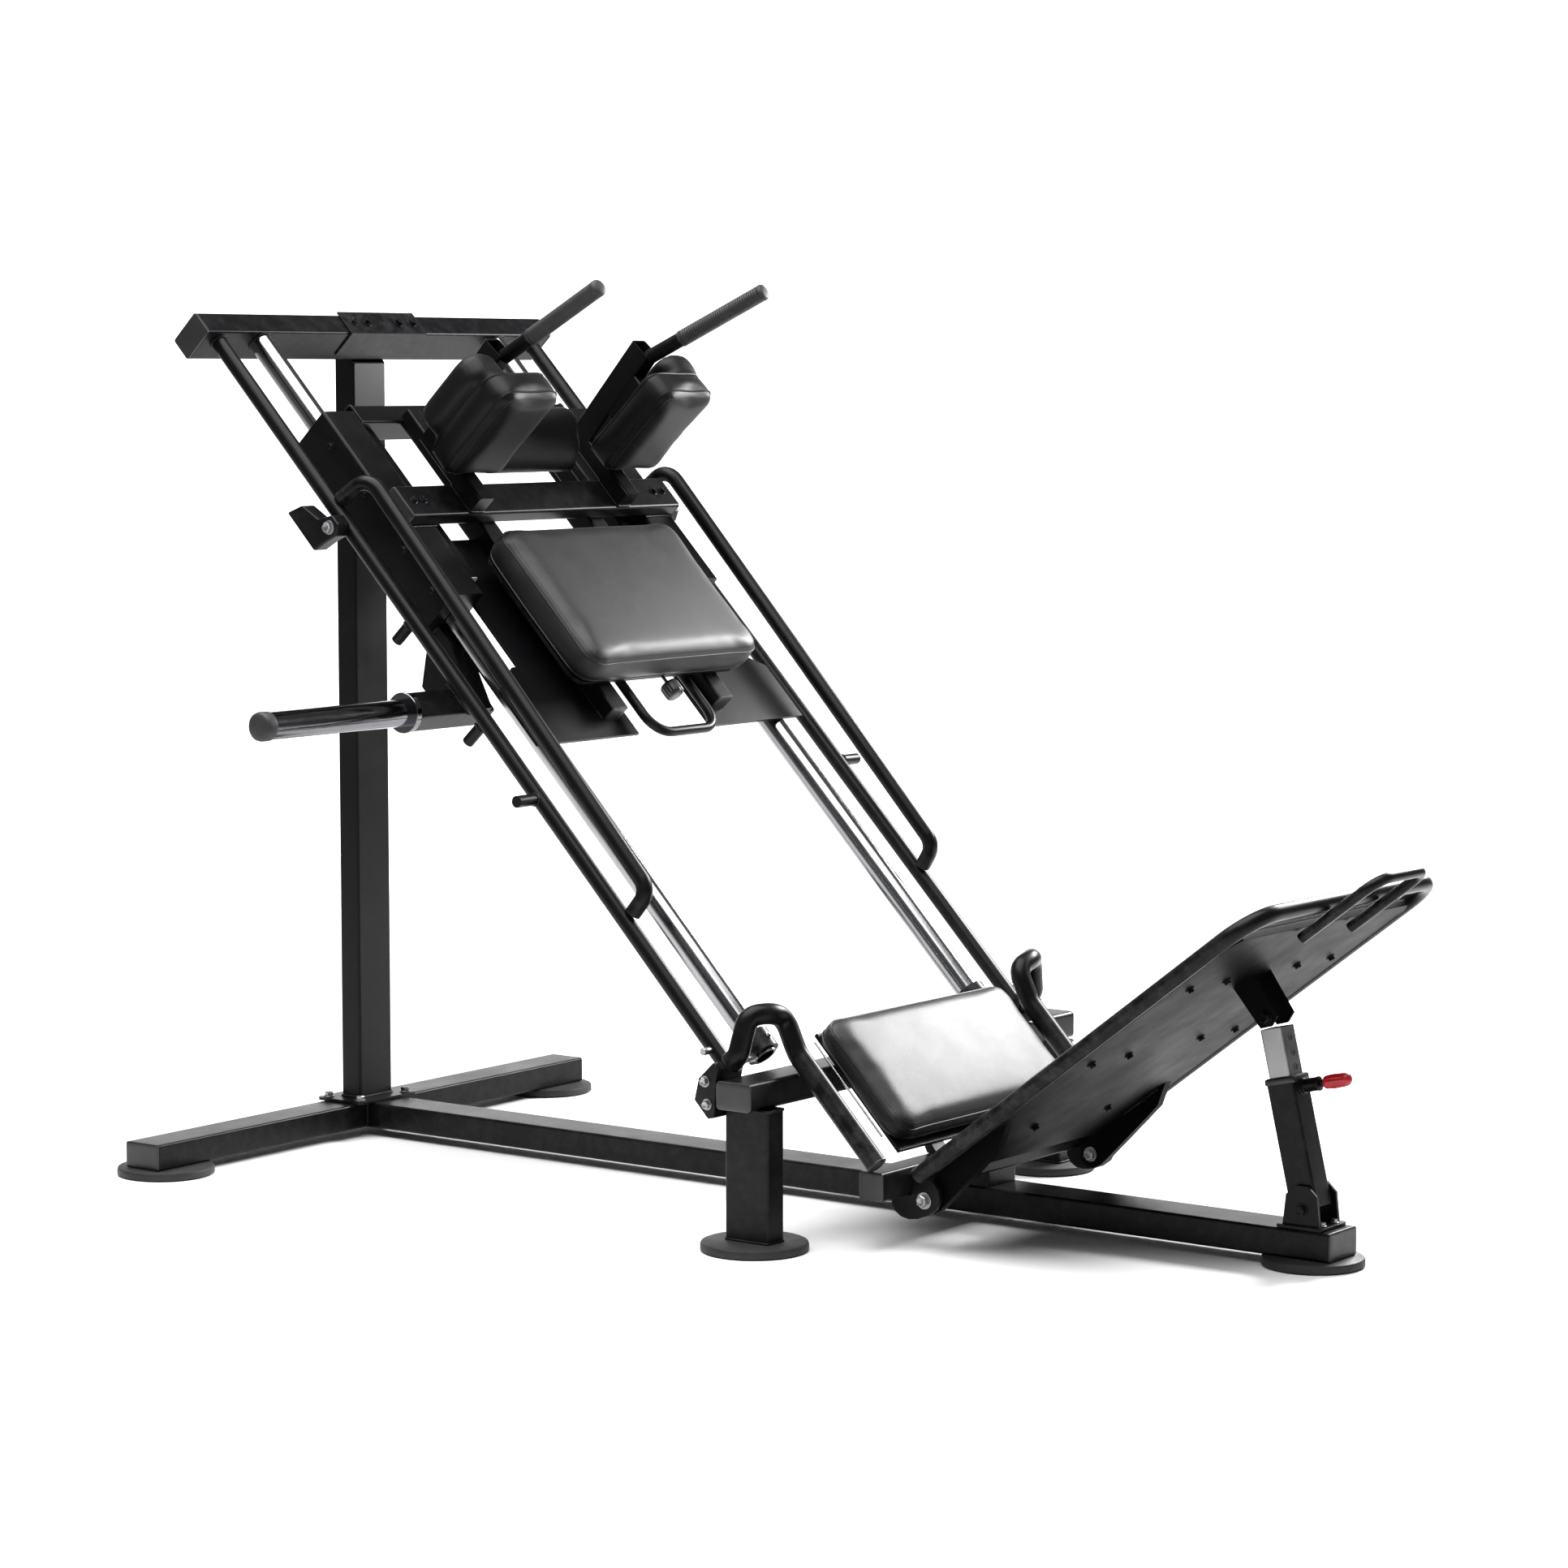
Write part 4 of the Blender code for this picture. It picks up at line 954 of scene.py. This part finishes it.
def strut_trim():
    """Collar of the strut's sleeve, the pull pin with its grip, and the rings of the strut tube's holes."""
    foot_at = strut(0.222, 0, 0) - STRUT * 0.006
    flat = [placed(rounded(0.0545, 0.0545, 0.005), foot_at, Y, STRUT_SQUARE)]
    steps = [(0.0578, 0.0), (0.0590, 0.0012), (0.0590, 0.0085), (0.0570, 0.0105), (0.0500, 0.0116)]
    outer = [placed(rounded(w, w, 0.006), foot_at + STRUT * h, Y, STRUT_SQUARE) for w, h in steps]
    inner = [placed(rounded(0.0452, 0.0452, 0.004), foot_at + STRUT * h, Y, STRUT_SQUARE)
             for h in (0.0116, 0.0065)]
    collar = Batch()
    collar.add(flat + outer + inner, caps=False)
    collar.make("strut_collar", PLASTIC, "sleeve", "black_plastic")

    root = strut(0.206, 0, 0.0272)
    boss = Batch()
    boss.add(turned(root, STRUT_SQUARE, [(0.0150, 0.0), (0.0150, 0.0008), (0.0140, 0.0020)], 28))
    boss.make("pin_weld_ring", PAINT, "sleeve", "frame_black")

    pin = Batch()
    pin_profile = [(0.0128, 0.0006), (0.0134, 0.0016), (0.0134, 0.0060), (0.0120, 0.0070), (0.0120, 0.0310),
                   (0.0128, 0.0322), (0.0128, 0.0350), (0.0104, 0.0366), (0.0058, 0.0372), (0.0058, 0.0480)]
    pin.add(turned(root, STRUT_SQUARE, pin_profile, 32))
    pin_body = pin.make("pull_pin_body", PAINT, "pull_pin", "frame_black")
    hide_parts("strut_pull_pin")

    grip = Batch()
    grip_profile = [(0.0062, 0.0446), (0.0096, 0.0454), (0.0116, 0.0482), (0.0124, 0.0560), (0.0128, 0.0650),
                    (0.0124, 0.0750), (0.0120, 0.0840), (0.0106, 0.0908), (0.0076, 0.0946), (0.0030, 0.0960)]
    grip.add(fluted(root, STRUT_SQUARE, grip_profile, 9, 0.0010, 0.050, 0.088, 72))
    grip.make("pull_pin_grip", RED, "pull_pin", "red_plastic")

    rings = Batch()
    ring_profile = [(0.0068, 0.0), (0.0068, 0.0003), (0.0064, 0.00045), (0.0060, 0.0002), (0.0058, 0.0001)]
    for t in (0.240, 0.266, 0.292):
        rings.add(turned(strut(t, 0, 0.02205), STRUT_SQUARE, ring_profile, 24))
    rings.make("strut_holes", RUBBER, "slider", "zinc")


def hook_trim():
    """Pivot bolt of each safety hook."""
    for side, sign in SIDES:
        bolt = Batch()
        hex_bolt(bolt, rail(0.470, sign * 0.4925, TUBE_N) + Y * sign * 0.0172, Y * sign, HOOK_BOLT)
        bolt.make(f"hook_bolt_{side}", STEEL, f"hook_{side}", "zinc", 25.0)


base_trim()
carriage_trim()
knob()
panel_trim()
strut_trim()
hook_trim()


# ---------------------------------------------------------------- stage, light and camera
SWEEP_HALF = 14.0  # half of the floor's width
SWEEP_NEAR = -12.0  # where the floor starts, in front of the machine
SWEEP_FAR = 7.0  # where it starts to curve up
SWEEP_BEND = 2.5
WALL_TOP = 4.6
VIEW_TURN = math.radians(36.3)


def stage():
    """Pale floor that curves up into a pale wall behind the machine."""
    profile = [(SWEEP_NEAR, 0.0)]
    for i in range(13):
        a = math.radians(90 * i / 12)
        profile.append((SWEEP_FAR + SWEEP_BEND * math.sin(a), SWEEP_BEND * (1 - math.cos(a))))
    profile.append((SWEEP_FAR + SWEEP_BEND, WALL_TOP))
    view_side = Vector((math.sin(VIEW_TURN), -math.cos(VIEW_TURN), 0.0))
    across = Vector((-view_side.y, view_side.x, 0.0))
    verts = []
    for d, z in profile:
        centre = -view_side * d + Z * z
        verts += [centre - across * SWEEP_HALF, centre + across * SWEEP_HALF]
    faces = [(a, a + 1, a + 3, a + 2) for a in range(0, 2 * len(profile) - 2, 2)]
    mesh = bpy.data.meshes.new("studio_sweep")
    mesh.from_pydata([tuple(v) for v in verts], [], faces)
    mesh.polygons.foreach_set("use_smooth", [True] * len(mesh.polygons))
    floor = bpy.data.objects.new("studio_sweep", mesh)
    bpy.context.scene.collection.objects.link(floor)
    floor.data.materials.append(new_material("studio_paper", (0.92, 0.92, 0.92), 0.0, 0.9, 0.1))


def area_light(name, place, aim, size, power):
    data = bpy.data.lights.new(name, "AREA")
    data.shape = "RECTANGLE"
    data.size = size[0]
    data.size_y = size[1]
    data.energy = power
    lamp = bpy.data.objects.new(name, data)
    lamp.location = place
    lamp.rotation_euler = (Vector(aim) - Vector(place)).to_track_quat("-Z", "Y").to_euler()
    bpy.context.scene.collection.objects.link(lamp)


def lighting():
    """Even white surroundings, a large light overhead, one low behind the machine, and one for the wall."""
    world = bpy.data.worlds.new("studio")
    world.use_nodes = True
    background = world.node_tree.nodes["Background"]
    background.inputs["Color"].default_value = (1.0, 1.0, 1.0, 1.0)
    background.inputs["Strength"].default_value = 0.16
    bpy.context.scene.world = world
    area_light("far_side", (0.60, 2.9, 2.0), (0.15, 0.0, 0.45), (1.5, 0.7), 190.0)
    area_light("overhead", (-0.6, -1.2, 5.0), (-0.6, -1.2, 0.0), (6.0, 5.0), 640.0)
    area_light("backdrop", (-3.4, 3.4, 3.4), (-5.6, 7.2, 0.9), (6.0, 1.2), 420.0)


def camera():
    """Camera that looks at the machine from its front right corner."""
    data = bpy.data.cameras.new("photo_view")
    data.lens = 95.75
    data.sensor_width = 36.0
    cam = bpy.data.objects.new("photo_view", data)
    cam.location = Vector((4.4856, -6.1791, 1.5137)) - ORIGIN_SHIFT
    cam.rotation_euler = (math.radians(84.386), 0.0, math.radians(36.318))
    bpy.context.scene.collection.objects.link(cam)
    bpy.context.scene.camera = cam


stage()
lighting()
camera()
bpy.context.scene.view_settings.view_transform = "Standard"
